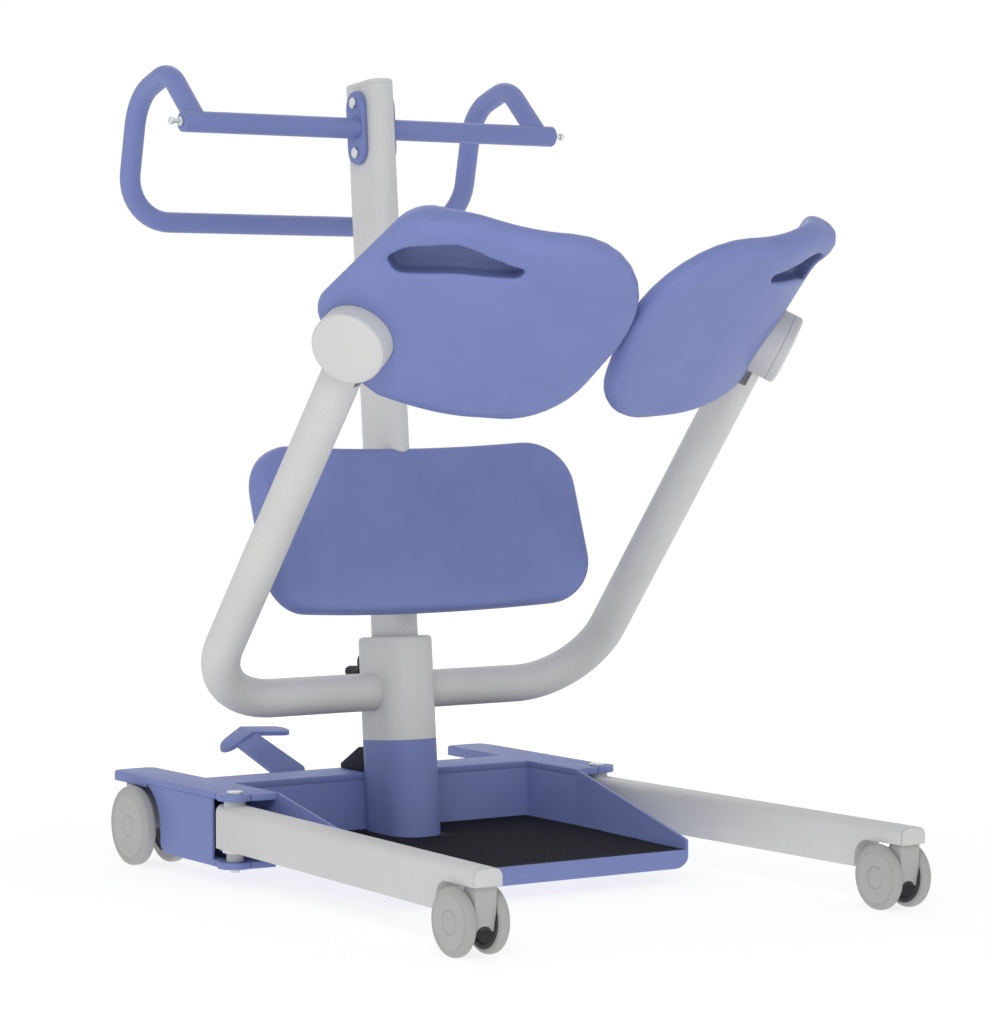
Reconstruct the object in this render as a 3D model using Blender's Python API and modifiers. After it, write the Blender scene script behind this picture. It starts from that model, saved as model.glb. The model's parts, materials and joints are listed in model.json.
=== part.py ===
"""Manual stand lift: wheeled base with spreading legs, leaning mast, shin pad and swing-out seat halves.

Metres, +Z up. -Y is the open front, where the user steps in, the carer stands at +Y, and -X is the
user's left. The origin is on the floor, under the middle of the whole lift.
"""
import math

import bmesh
import bpy
from mathutils import Matrix, Vector

# Clearances
GAP = 0.0003
RUN = 0.0003
SWING = 0.0012
SLOT_PLAY = 0.0010

# Base weldment
TOP_Z = 0.1173
PLATE_T = 0.0083
SHEET_T = 0.0040
TRAY_Z = 0.0200
TRAY_FLOOR_Z = 0.0400
TRAY_LIP = 0.0030
TRAY_FRONT_Y = -0.1490
TRAY_FRONT_X = 0.2115
TRAY_FRONT_Z = 0.0550
TRAY_CORNER_R = 0.0030
TRAY_BEND_R = 0.0200
TRAY_EDGE_R = 0.0080
WALL_X = 0.2275
WALL_TOP_FRONT_Y = 0.1224
BACK_WALL_Y = 0.2403
BEAM_REAR_Y = 0.3125
WING_IN_X = 0.2317
WING_OUT_X = 0.2948
WING_REAR_Y = 0.4603
WING_R = 0.0130
WING_LIP_IN_Y = 0.3140
WING_LIP_OUT_Y = 0.3605
WING_LIP_H = 0.0045
WING_LIP_T = 0.0030
CHANNEL_Z = 0.0230
SKIRT_Z = 0.0230
SKIRT_FRONT_Y = 0.1780
SKIRT_REAR_Y = 0.3200
SKIRT_CORNER_R = 0.0140
RELIEF_W = 0.0016
RELIEF_L = 0.0100
RELIEF_X = 0.2675

# Footplate mat
MAT_T = 0.0034

# Leg pivots
PIVOT_X = 0.2785
PIVOT_Y = 0.1473
EAR_R = 0.0225
EAR_TAB_Y = 0.1270
PIN_R = 0.0060
PIN_HEAD_R = 0.0110
PIN_HEAD_H = 0.0025
PIN_TAIL = 0.0056
BUSH_R = 0.0110
COLLAR_R = 0.0140

# Legs
LEG_W = 0.0360
LEG_Z0 = 0.0470
LEG_Z1 = 0.1030
LEG_EDGE_R = 0.0100
LEG_WALL = 0.0040
LEG_TAIL = 0.0180
LEG_NOSE = 0.0107
NOSE_Z0 = 0.0818
NOSE_CAP_T = 0.0040
NOTCH_R = 0.0220
NOTCH_CLEAR = 0.0025
LEVER_T = 0.0040
LEVER_W = 0.0200

# Casters
FRONT_STEM_X = 0.3045
FRONT_STEM_Y = -0.4690
FRONT_TRAIL = 0.0244
FRONT_WHEEL_R = 0.0400
FRONT_HALF_W = 0.0298
FRONT_FORK_W = 0.0176
REAR_STEM_X = 0.2755
REAR_STEM_Y = 0.4104
REAR_TRAIL = -0.0300
REAR_WHEEL_R = 0.0520
REAR_HALF_W = 0.0365
REAR_FORK_W = 0.0330
REAR_NECK_H = 0.0053
REAR_NECK_R = 0.0120
AXLE_R = 0.0040
STEM_R = 0.0060
STEM_L = 0.0150

# Mast, socket and sleeve on one leaning axis
MAST_LEAN = math.radians(4.915)
MAST_FOOT_Y = 0.1898
MAST_W = 0.0360
MAST_L = 0.0850
MAST_WALL = 0.0030
MAST_BOTTOM = 0.0600
MAST_CAP_T = 0.0060
SLEEVE_W = 0.0726
SLEEVE_L = 0.1196
SLEEVE_WALL = 0.0040
SLEEVE_LID_T = 0.0070
SEAM_AT = 0.1650
SLEEVE_TOP = 0.3010
BUSH_L = 0.1000
SOCKET_FOOT_Y = 0.2440

# Cover behind the socket
COVER_HALF_W = 0.0280
COVER_REAR_Y = 0.3100
COVER_LOW_Z = 0.1240
COVER_TOP_Z = 0.1500
COVER_SLOPE = math.radians(29.0)

# Seat frame
FRAME_R = 0.0250
FRAME_Y = 0.2120
FRAME_Z = 0.2281
FRAME_X = 0.2936
FRAME_BEND_R = 0.1040

# Seat hubs: face centre and outward axis on the +X side
HUB_FACE = Vector((0.3248, -0.2086, 0.6759))
HUB_AXIS = Vector((0.735, -0.510, -0.445)).normalized()
HUB_R = 0.0450
HUB_CAP_T = 0.0120
HUB_CAP_EDGE = 0.0050
HUB_LEN = 0.0530
ARM_DEPTH = 0.0424
LUG_IN = 0.0282
LUG_OUT = 0.0174
LUG_REACH = 0.0750
SHAFT_R = 0.0080
FLANGE_R = 0.0300
FLANGE_T = 0.0032

# Seat halves: a flat blank rolled round a slanting line, measured from the hub
SEAT_PITCH = math.radians(45.5)
SEAT_SLOPE = math.radians(7.0)
SEAT_FLAT = 0.1400
SEAT_BEND_R = 0.2700
SEAT_T = 0.0320
SEAT_EDGE_R = 0.0120
SEAT_HUB_S = 0.3100
SEAT_DEPTH = 0.0300
SEAT_HUB_EDGE_R = 0.0520
GRIP_DEPTH = 0.0140
GRIP_EDGE_R = 0.0030

# Seat corners in the flat blank, each with its rounding: along s outward, and t up the slope from the hub
SEAT_CORNERS = [(0.032, -0.062, 0.095), (0.000, 0.082, 0.150), (0.002, 0.232, 0.125), (0.250, 0.222, 0.100),
                (0.326, 0.194, 0.058), (0.378, -0.001, 0.034)]
GRIP_CORNERS = [(0.180, 0.165, 0.0045), (0.250, 0.146, 0.150), (0.306, 0.112, 0.009), (0.324, 0.123, 0.010),
                (0.308, 0.156, 0.040), (0.260, 0.188, 0.045), (0.174, 0.179, 0.0045)]
SEAT_SWELL = 0.42
SEAT_SWELL_S = (0.235, 0.315)
SEAT_SWELL_T = (0.095, 0.170)

# Shin pad
SHIN_HALF_W = 0.2475
SHIN_H = 0.2220
SHIN_CORNER_R = 0.0580
SHIN_TOP_R = 0.0660
SHIN_T = 0.0390
SHIN_EDGE_R = 0.0140
SHIN_LEAN = math.radians(19.3)
SHIN_Y = 0.1740
SHIN_Z = 0.4410
SHIN_BEND_R = 0.8500
BRACKET_W = 0.0900
BRACKET_H = 0.0900
BRACKET_T = 0.0050
BRACKET_BLOCK_W = 0.0300

# Handlebar
BAR_R = 0.0138
BAR_Z = 0.9704
BAR_FORWARD = 0.00465
BAR_Y = MAST_FOOT_Y + BAR_Z * math.tan(MAST_LEAN) - BAR_FORWARD
BAR_END_X = 0.2860
LOOP_X = 0.2640
LOOP_RISE_Y = BAR_Y + 0.0764
LOOP_RISE_Z = BAR_Z + 0.0716
LOOP_FALL_Y = BAR_Y + 0.1654
LOOP_FALL_Z = BAR_Z + 0.0426
LOOP_TOP_R = 0.0440
LOOP_REAR_R = 0.0700
REAR_BEND_R = 0.0660
REAR_BAR_Y = BAR_Y + 0.2028
REAR_BAR_Z = BAR_Z - 0.1209
PLATE_ABOVE_BAR = 0.0010
HANDLE_PLATE_AT = BAR_Z / math.cos(MAST_LEAN) + PLATE_ABOVE_BAR
HANDLE_PLATE_W = 0.0420
HANDLE_PLATE_L = 0.0980
HANDLE_PLATE_T = 0.0077
MAST_ABOVE_PLATE = 0.0060
MAST_TOP = HANDLE_PLATE_AT + HANDLE_PLATE_L / 2 + MAST_ABOVE_PLATE
BOLT_PITCH = 0.0660
BOLT_R = 0.0040
BOLT_HEAD_R = 0.0075
BOLT_HEAD_H = 0.0025
STUD_R = 0.0032
STUD_HEAD_R = 0.0052
STUD_L = 0.0175

# Clamp knob
KNOB_AT = 0.2560
KNOB_R = 0.0172
KNOB_LOBE = 0.0067
KNOB_LOBES = 3
KNOB_STEPS = 12
KNOB_STAND = 0.0082
KNOB_T = 0.0200
KNOB_BOSS_R = 0.0072
KNOB_BOSS_L = 0.0360
KNOB_NECK_R = 0.0100
KNOB_SCREW_R = 0.0050
COLLAR_H = 0.0050

# Pedal
PEDAL_X = -0.0965
PEDAL_W = 0.0520
PEDAL_T = 0.0055
PEDAL_Y = 0.3260
PEDAL_Z = 0.0980
PEDAL_BARREL_R = 0.0080
PEDAL_PIN_R = 0.0040
PEDAL_EAR_T = 0.0050
PEDAL_SKEW = 0.26
TREAD_Y = 0.4230
TREAD_Z = 0.1570
TREAD_D = 0.0340
TREAD_OUT_X = -0.1378
TREAD_IN_X = -0.0355
TREAD_BEND_X = -0.1000
TREAD_RISE = math.radians(7.5)
TREAD_DROOP = math.radians(32.0)
TREAD_FALL = math.radians(3.0)

# Drive under the base: levers on the legs, link rods and a crank
ROD_R = 0.0040
ROD_PIN_R = 0.0040
CRANK_Y = 0.2765
CRANK_ARM = 0.0190
CRANK_W = 0.0140
CRANK_T = 0.0040
CRANK_PIN_R = 0.0050
LEG_SWING = math.radians(14.0)

BLUE = ("blue_paint", (0.190, 0.220, 0.500), 0.45, 0.0)
PAD_BLUE = ("blue_pad", (0.200, 0.235, 0.520), 0.55, 0.0)
GREY = ("light_grey_paint", (0.620, 0.620, 0.610), 0.45, 0.0)
PLASTIC_GREY = ("grey_plastic", (0.420, 0.420, 0.410), 0.50, 0.0)
BLACK = ("black_plastic", (0.020, 0.020, 0.026), 0.55, 0.0)
STEEL = ("bright_steel", (0.700, 0.700, 0.700), 0.25, 1.0)


def clear_scene():
    for obj in list(bpy.data.objects):
        bpy.data.objects.remove(obj, do_unlink=True)


def collection(name):
    group = bpy.data.collections.new(name)
    bpy.context.scene.collection.children.link(group)
    return group


def material(spec):
    name, color, roughness, metallic = spec
    mat = bpy.data.materials.get(name)
    if mat is None:
        mat = bpy.data.materials.new(name)
        mat.use_nodes = True
        shader = mat.node_tree.nodes["Principled BSDF"]
        shader.inputs["Base Color"].default_value = (*color, 1.0)
        shader.inputs["Roughness"].default_value = roughness
        shader.inputs["Metallic"].default_value = metallic
        mat.diffuse_color = (*color, 1.0)
    return mat


clear_scene()
PARTS = collection("manual_stand_lift")


def new_object(name, mesh, spec=None):
    obj = bpy.data.objects.new(name, mesh)
    PARTS.objects.link(obj)
    if spec:
        mesh.materials.clear()
        mesh.materials.append(material(spec))
    return obj


def face_outward(bm):
    bm.normal_update()
    if bm.calc_volume(signed=True) < 0:
        bmesh.ops.reverse_faces(bm, faces=bm.faces)


def from_bmesh(name, bm, spec=None):
    face_outward(bm)
    mesh = bpy.data.meshes.new(name)
    bm.to_mesh(mesh)
    bm.free()
    return new_object(name, mesh, spec)


def bake(obj):
    """Turn the object, with its modifiers and its place, into a plain mesh object at the origin."""
    bpy.context.view_layer.update()
    graph = bpy.context.evaluated_depsgraph_get()
    mesh = bpy.data.meshes.new_from_object(obj.evaluated_get(graph))
    mesh.transform(obj.matrix_world)
    bm = bmesh.new()
    bm.from_mesh(mesh)
    bmesh.ops.remove_doubles(bm, verts=bm.verts, dist=0.00002)
    bmesh.ops.dissolve_degenerate(bm, edges=bm.edges, dist=0.00001)
    face_outward(bm)
    bm.to_mesh(mesh)
    bm.free()
    name = obj.name
    mats = [slot.material for slot in obj.material_slots]
    bpy.data.objects.remove(obj, do_unlink=True)
    mesh.name = name
    mesh.materials.clear()
    for mat in mats:
        mesh.materials.append(mat)
    made = bpy.data.objects.new(name, mesh)
    PARTS.objects.link(made)
    return made


def combine(target, tool, operation):
    """Join a tool to the target or cut it away, and remove the tool."""
    step = target.modifiers.new(operation.lower(), "BOOLEAN")
    step.operation = operation
    step.solver = "EXACT"
    step.object = tool
    made = bake(target)
    bpy.data.objects.remove(tool, do_unlink=True)
    return made


def cut(target, *tools):
    for tool in tools:
        target = combine(target, tool, "DIFFERENCE")
    return target


def join(target, *tools):
    for tool in tools:
        target = combine(target, tool, "UNION")
    return target


def box(name, low, high, spec=None, edge=0.0, segments=2):
    bm = bmesh.new()
    bmesh.ops.create_cube(bm, size=1.0)
    low, high = Vector(low), Vector(high)
    size = high - low
    bmesh.ops.scale(bm, vec=size, verts=bm.verts)
    bmesh.ops.translate(bm, vec=(low + high) / 2, verts=bm.verts)
    if edge:
        bmesh.ops.bevel(bm, geom=bm.edges[:], offset=edge, segments=segments, profile=0.5,
                        affect="EDGES", clamp_overlap=True)
    return from_bmesh(name, bm, spec)


def cylinder(name, radius, start, end, spec=None, sides=20, edge=0.0):
    """A round bar from start to end, with its end edges eased when edge is given."""
    start, end = Vector(start), Vector(end)
    length = (end - start).length
    bm = bmesh.new()
    bmesh.ops.create_cone(bm, cap_ends=True, segments=sides, radius1=radius, radius2=radius, depth=length)
    if edge:
        rims = [e for e in bm.edges if abs(e.verts[0].co.z - e.verts[1].co.z) < 1e-6]
        bmesh.ops.bevel(bm, geom=rims, offset=edge, segments=2, profile=0.5, affect="EDGES")
    turn = (end - start).to_track_quat("Z", "Y").to_matrix().to_4x4()
    bm.transform(Matrix.Translation((start + end) / 2) @ turn)
    return from_bmesh(name, bm, spec)


def turned(name, profile, spec, steps=32, place=Matrix()):
    """Spin (radius, height) points about Z with a Screw modifier, then place the result."""
    mesh = bpy.data.meshes.new(name)
    mesh.from_pydata([(r, 0.0, z) for r, z in profile], [(i, i + 1) for i in range(len(profile) - 1)], [])
    obj = new_object(name, mesh, spec)
    screw = obj.modifiers.new("spin", "SCREW")
    screw.steps = steps
    screw.render_steps = steps
    screw.use_merge_vertices = True
    screw.merge_threshold = 0.00005
    obj.matrix_world = place
    return bake(obj)


def arc(centre, radius, start, end, steps):
    """Points on an arc between two angles in degrees."""
    turn = (math.radians(start + (end - start) * i / steps) for i in range(steps + 1))
    return [(centre[0] + radius * math.cos(a), centre[1] + radius * math.sin(a)) for a in turn]


def outline_curve(name, loops, thickness, bevel=0.0, bevel_steps=2):
    """A 2D curve, filled and thickened; every loop after the first is a hole and runs the other way."""
    curve = bpy.data.curves.new(name, "CURVE")
    curve.dimensions = "2D"
    curve.fill_mode = "BOTH"
    curve.extrude = thickness / 2 - bevel
    curve.bevel_depth = bevel
    curve.bevel_resolution = bevel_steps
    curve.offset = -bevel
    for number, loop in enumerate(loops):
        area = sum(a[0] * b[1] - b[0] * a[1] for a, b in zip(loop, loop[1:] + loop[:1]))
        if (area > 0) != (number == 0):
            loop = loop[::-1]
        spline = curve.splines.new("POLY")
        spline.points.add(len(loop) - 1)
        spline.use_cyclic_u = True
        for point, (u, v) in zip(spline.points, loop):
            point.co = (u, v, 0.0, 1.0)
    obj = bpy.data.objects.new(name, curve)
    PARTS.objects.link(obj)
    return obj


def plate(name, loops, thickness, place, spec=None, bevel=0.0, bevel_steps=2):
    """A flat outline of the given thickness, its middle plane put by place."""
    obj = outline_curve(name, loops, thickness, bevel, bevel_steps)
    obj.matrix_world = place
    made = bake(obj)
    if spec:
        made.data.materials.clear()
        made.data.materials.append(material(spec))
    return made


def tube(name, points, radius, spec, resolution=4):
    """A round bar along points, as a poly curve with filled caps."""
    curve = bpy.data.curves.new(name, "CURVE")
    curve.dimensions = "3D"
    curve.bevel_depth = radius
    curve.bevel_resolution = resolution
    curve.use_fill_caps = True
    spline = curve.splines.new("POLY")
    spline.points.add(len(points) - 1)
    for point, place in zip(spline.points, points):
        point.co = (*place, 1.0)
    obj = bpy.data.objects.new(name, curve)
    PARTS.objects.link(obj)
    made = bake(obj)
    made.data.materials.clear()
    made.data.materials.append(material(spec))
    return made


def rounded_path(corners, radii, steps=6):
    """A path through corners, each inner corner rounded by its own radius."""
    points = [Vector(corners[0])]
    for before, corner, after, radius in zip(corners, corners[1:], corners[2:], radii):
        before, corner, after = Vector(before), Vector(corner), Vector(after)
        into = (corner - before).normalized()
        out = (after - corner).normalized()
        angle = into.angle(out)
        reach = radius * math.tan(angle / 2)
        start = corner - into * reach
        normal = (out - into * into.dot(out)).normalized()
        centre = start + normal * radius
        for i in range(steps + 1):
            turn = angle * i / steps
            points.append(centre - normal * radius * math.cos(turn) + into * radius * math.sin(turn))
    points.append(Vector(corners[-1]))
    return points


def rounded_rect(x0, y0, x1, y1, radii, steps=6):
    """A rectangle's loop, with its corner radii from the lower left, anticlockwise."""
    a, b, c, d = radii
    loop = arc((x0 + a, y0 + a), a, 180, 270, steps)
    loop += arc((x1 - b, y0 + b), b, 270, 360, steps)
    loop += arc((x1 - c, y1 - c), c, 0, 90, steps)
    loop += arc((x0 + d, y1 - d), d, 90, 180, steps)
    return loop


def obround(width, length, steps=8):
    """A flat-sided oval with its long side along the second coordinate."""
    r = width / 2
    run = length / 2 - r
    return arc((0.0, run), r, 0, 180, steps) + arc((0.0, -run), r, 180, 360, steps)


def circle(centre, radius, steps=24):
    return arc(centre, radius, 0, 360 * (steps - 1) / steps, steps - 1)


def mirrored(obj, name):
    """A second object, mirrored to the other side of the lift."""
    mesh = obj.data.copy()
    mesh.transform(Matrix.Scale(-1, 4, (1, 0, 0)))
    mesh.flip_normals()
    mesh.name = name
    twin = bpy.data.objects.new(name, mesh)
    PARTS.objects.link(twin)
    return twin


def set_origin(obj, point):
    """Move the object's origin to a point on its joint's axis, with its shape left where it is."""
    point = Vector(point)
    obj.data.transform(Matrix.Translation(-point))
    obj.location = point


MAST = Matrix.Translation((0.0, MAST_FOOT_Y, 0.0)) @ Matrix.Rotation(-MAST_LEAN, 4, "X")
SIDE_VIEW = Matrix(((0, 0, 1, 0), (1, 0, 0, 0), (0, 1, 0, 0), (0, 0, 0, 1)))
PLATE_Z = TOP_Z - PLATE_T
WALL_TOP_Z = PLATE_Z - GAP
WALL_OUT_X = WALL_X + SHEET_T
TRAY_REAR_Y = BACK_WALL_Y + SHEET_T


def slab(name, loops, low, high, spec=None, bevel=0.0):
    """A horizontal plate between two heights."""
    return plate(name, loops, high - low, Matrix.Translation((0, 0, (low + high) / 2)), spec, bevel)


def both_sides(half):
    """A closed loop from its +X half, listed from the middle line round to the middle line."""
    return half + [(-x, y) for x, y in reversed(half) if x > 0]


def mast_oval(name, width, length, low, high, spec=None, bevel=0.0, steps=2):
    """An oval bar on the mast's axis, between two distances along it."""
    return plate(name, [obround(width, length)], high - low,
                 MAST @ Matrix.Translation((0, 0, (low + high) / 2)), spec, bevel, steps)


def mast_ring(name, outer, inner, low, high, spec):
    """An oval tube on the mast's axis."""
    loops = [obround(*outer), obround(*inner)[::-1]]
    return plate(name, loops, high - low, MAST @ Matrix.Translation((0, 0, (low + high) / 2)), spec)


# Base weldment
def footplate_tray():
    """Floor, front lip, sloping side walls and back wall."""
    r = TRAY_CORNER_R
    out_x = TRAY_FRONT_X + SHEET_T
    outer = [(0, TRAY_FRONT_Y)] + arc((out_x - r, TRAY_FRONT_Y + r), r, 270, 360, 4)
    outer += [(WALL_OUT_X, WALL_TOP_FRONT_Y), (WALL_OUT_X, TRAY_REAR_Y), (0, TRAY_REAR_Y)]
    tray = slab("footplate_tray", [both_sides(outer)], TRAY_Z, TOP_Z, BLUE)
    well = [(0, TRAY_FRONT_Y + SHEET_T), (TRAY_FRONT_X, TRAY_FRONT_Y + SHEET_T)]
    well += [(WALL_X, WALL_TOP_FRONT_Y), (WALL_X, BACK_WALL_Y), (0, BACK_WALL_Y)]
    tray = cut(tray, slab("tray_well", [both_sides(well)], TRAY_FLOOR_Z, TOP_Z + 0.05))
    under = [(0, TRAY_FRONT_Y + SHEET_T), (TRAY_FRONT_X - SHEET_T, TRAY_FRONT_Y + SHEET_T)]
    under += [(WALL_X - SHEET_T, WALL_TOP_FRONT_Y), (WALL_X - SHEET_T, BACK_WALL_Y), (0, BACK_WALL_Y)]
    tray = cut(tray, slab("tray_underside", [both_sides(under)], TRAY_Z - 0.05, TRAY_FLOOR_Z - SHEET_T))
    lip_z = TRAY_FLOOR_Z + TRAY_LIP
    step_y = WALL_TOP_FRONT_Y - GAP
    front_y = TRAY_FRONT_Y - GAP
    edge = rounded_path([(step_y, TOP_Z, 0), (front_y, TRAY_FRONT_Z, 0), (front_y, lip_z, 0)], [TRAY_EDGE_R], 4)
    trim = [(0.5, WALL_TOP_Z), (step_y, WALL_TOP_Z)] + [(p.x, p.y) for p in edge]
    trim += [(-0.4, lip_z), (-0.4, 0.3), (0.5, 0.3)]
    lip_x = TRAY_FRONT_X - GAP
    lip_room = box("lip_room", (-lip_x, TRAY_FRONT_Y - 0.01, lip_z), (lip_x, TRAY_FRONT_Y + SHEET_T + 0.001, 0.2))
    tray = cut(tray, plate("tray_trim", [trim], 1.0, SIDE_VIEW), lip_room)
    for side in (-1, 1):
        start = Vector((side * out_x, TRAY_FRONT_Y, TRAY_Z))
        along = (Vector((side * WALL_OUT_X, WALL_TOP_FRONT_Y, TRAY_Z)) - start).normalized()
        across = Vector((0, 0, 1)).cross(along) * side
        b = TRAY_BEND_R
        corner = [(b, -0.01)] + arc((b, b), b, 270, 180, 5) + [(-0.01, b), (-0.01, -0.01)]
        turn = Matrix((across * side, Vector((0, 0, 1)), along)).transposed().to_4x4()
        if side < 0:
            corner = [(-x, z) for x, z in corner]
        tray = cut(tray, plate("tray_bend", [corner], 0.7, Matrix.Translation(start) @ turn))
    place = mast_oval("socket_place", SLEEVE_W + 2 * GAP, SLEEVE_L + 2 * GAP, 0.0, SEAM_AT)
    return cut(tray, cut(place, box("tray_floor", (-0.2, 0.0, -0.1), (0.2, 0.4, TRAY_FLOOR_Z))))


def footplate_mat():
    low = TRAY_FLOOR_Z + GAP
    front_y = TRAY_FRONT_Y + SHEET_T + GAP
    loop = [(0, front_y), (TRAY_FRONT_X - GAP, front_y), (WALL_X - GAP, WALL_TOP_FRONT_Y)]
    loop += [(WALL_X - GAP, BACK_WALL_Y - GAP), (0, BACK_WALL_Y - GAP)]
    mat = slab("footplate_mat", [both_sides(loop)], low, low + MAT_T, BLACK)
    return cut(mat, mast_oval("mat_place", SLEEVE_W + 4 * GAP, SLEEVE_L + 4 * GAP, 0.0, SEAM_AT))


def ear_edge(out_x, in_x, in_y):
    """The front edge of a base plate, from its outer side round the pivot ear to its inner tab."""
    notch_y = (PIVOT_Y + SKIRT_FRONT_Y) / 2 + EAR_R / 4
    meet = math.degrees(math.acos((out_x - PIVOT_X) / EAR_R))
    tab = math.degrees(math.asin((EAR_TAB_Y - PIVOT_Y) / EAR_R))
    edge = [(out_x, notch_y + RELIEF_W), (out_x - RELIEF_L, notch_y + RELIEF_W)]
    edge += [(out_x - RELIEF_L, notch_y), (out_x, notch_y)]
    edge += arc((PIVOT_X, PIVOT_Y), EAR_R, meet, -180 - tab, 9)
    edge += [(RELIEF_X, EAR_TAB_Y), (RELIEF_X, EAR_TAB_Y + RELIEF_L), (RELIEF_X - RELIEF_W, EAR_TAB_Y + RELIEF_L)]
    edge += [(RELIEF_X - RELIEF_W, EAR_TAB_Y), (in_x, in_y)]
    return edge


def wing_lip(side):
    """The turned-down rim round the rear of one wing."""
    r, t = WING_R, WING_LIP_T
    loop = [(WING_IN_X, WING_LIP_IN_Y)] + arc((WING_IN_X + r, WING_REAR_Y - r), r, 180, 90, 4)
    loop += arc((WING_OUT_X - r, WING_REAR_Y - r), r, 90, 0, 4)
    loop += [(WING_OUT_X, WING_LIP_OUT_Y), (WING_OUT_X - t, WING_LIP_OUT_Y)]
    loop += arc((WING_OUT_X - r, WING_REAR_Y - r), r - t, 0, 90, 4)
    loop += arc((WING_IN_X + r, WING_REAR_Y - r), r - t, 90, 180, 4)
    loop += [(WING_IN_X + t, WING_LIP_IN_Y)]
    if side > 0:
        loop = loop[::-1]
    return slab("wing_lip", [[(side * x, y) for x, y in loop]], PLATE_Z - WING_LIP_H, PLATE_Z + PLATE_T / 4, BLUE)


def base_top_plate():
    r = WING_R
    loop = [(0, BEAM_REAR_Y), (WING_IN_X, BEAM_REAR_Y)]
    loop += arc((WING_IN_X + r, WING_REAR_Y - r), r, 180, 90, 4)
    loop += arc((WING_OUT_X - r, WING_REAR_Y - r), r, 90, 0, 4)
    loop += ear_edge(WING_OUT_X, WALL_X, WALL_TOP_FRONT_Y)
    loop += [(WALL_X, BACK_WALL_Y), (0, BACK_WALL_Y)]
    top = slab("base_top_plate", [both_sides(loop)], PLATE_Z, TOP_Z, BLUE)
    top = cut(top, mast_oval("plate_place", SLEEVE_W + 2 * GAP, SLEEVE_L + 2 * GAP, 0.05, SEAM_AT))
    for side in (-1, 1):
        pin = cylinder("pin_place", PIN_R + RUN, (side * PIVOT_X, PIVOT_Y, 0), (side * PIVOT_X, PIVOT_Y, 0.2))
        stem_x = side * REAR_STEM_X
        stem = cylinder("stem_place", STEM_R + RUN, (stem_x, REAR_STEM_Y, 0.09),
                        (stem_x, REAR_STEM_Y, TOP_Z - 0.0015))
        top = cut(join(top, wing_lip(side)), pin, stem)
    return top


def base_bottom_channel():
    """Lower plate with the lower ears, rear wall, pedal ears and crank post."""
    top_z = CHANNEL_Z + PLATE_T
    in_x = WALL_OUT_X + GAP
    out_x = WING_OUT_X - SHEET_T - GAP
    front_y = TRAY_REAR_Y + GAP
    rear_y = BEAM_REAR_Y - 0.0005
    loop = [(0, rear_y), (out_x, rear_y), (out_x, SKIRT_FRONT_Y - GAP), (WING_OUT_X, SKIRT_FRONT_Y - GAP)]
    loop += ear_edge(WING_OUT_X, in_x, WALL_TOP_FRONT_Y + 0.003)
    loop += [(in_x, front_y), (0, front_y)]
    base = slab("base_bottom_channel", [both_sides(loop)], CHANNEL_Z, top_z, BLUE)
    wall = box("rear_wall", (-out_x, rear_y - SHEET_T, top_z - 0.004), (out_x, rear_y, WALL_TOP_Z))
    base = join(base, wall)
    for side in (-1, 1):
        pin_x = side * PIVOT_X
        base = cut(base, cylinder("pin_place", PIN_R + RUN, (pin_x, PIVOT_Y, 0), (pin_x, PIVOT_Y, 0.2)))
        ear_x = PEDAL_X + side * (PEDAL_W / 2 + GAP + PEDAL_EAR_T / 2)
        outline = [(rear_y - SHEET_T / 2, PEDAL_Z - 0.012), (PEDAL_Y, PEDAL_Z - PEDAL_BARREL_R)]
        outline += arc((PEDAL_Y, PEDAL_Z), PEDAL_BARREL_R, -80, 80, 6)
        outline += [(PEDAL_Y, PEDAL_Z + PEDAL_BARREL_R), (rear_y - SHEET_T / 2, PEDAL_Z + PEDAL_BARREL_R)]
        ear = plate("pedal_ear", [outline], PEDAL_EAR_T, Matrix.Translation((ear_x, 0, 0)) @ SIDE_VIEW)
        hole = cylinder("pedal_pin_place", PEDAL_PIN_R + RUN, (ear_x - 0.01, PEDAL_Y, PEDAL_Z),
                        (ear_x + 0.01, PEDAL_Y, PEDAL_Z), sides=16)
        base = cut(join(base, ear), hole)
    lever_z = LEG_Z0 - GAP - LEVER_T
    base = join(base, cylinder("crank_seat", 2 * CRANK_PIN_R, (0, CRANK_Y, top_z - 0.002),
                               (0, CRANK_Y, lever_z - GAP), sides=20))
    return join(base, cylinder("crank_post", CRANK_PIN_R, (0, CRANK_Y, lever_z - 0.002),
                               (0, CRANK_Y, lever_z + CRANK_T), sides=20))


def side_skirt():
    """The plate beside a leg's root, with an arch that clears the swivelling rear wheels."""
    hub_y = REAR_STEM_Y + REAR_TRAIL
    arch = hub_y - SKIRT_REAR_Y
    top = WALL_TOP_Z
    rise = math.degrees(math.asin(min((top - 0.002 - REAR_WHEEL_R) / arch, 1.0)))
    c = SKIRT_CORNER_R
    loop = [(SKIRT_FRONT_Y, SKIRT_Z)]
    loop += arc((SKIRT_REAR_Y - c, SKIRT_Z + c), c, 270, 360, 5)
    loop += arc((hub_y, REAR_WHEEL_R), arch, 180, 180 - rise, 8)
    loop += [(hub_y - arch * math.cos(math.radians(rise)) + 0.004, top), (SKIRT_FRONT_Y, top)]
    place = Matrix.Translation((WING_OUT_X - SHEET_T / 2, 0, 0)) @ SIDE_VIEW
    return plate("right_side_skirt", [loop], SHEET_T, place, BLUE)


def mast_socket():
    socket = mast_ring("mast_socket", (SLEEVE_W, SLEEVE_L),
                       (SLEEVE_W - 2 * SLEEVE_WALL, SLEEVE_L - 2 * SLEEVE_WALL), 0.02, SEAM_AT, BLUE)
    floor = box("socket_floor", (-0.2, 0.0, -0.1), (0.2, 0.4, TRAY_FLOOR_Z + GAP))
    drive_room = box("drive_room", (-0.1, SOCKET_FOOT_Y, 0.0), (0.1, 0.4, LEG_Z0 + 4 * ROD_R))
    return cut(socket, floor, drive_room)


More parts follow.
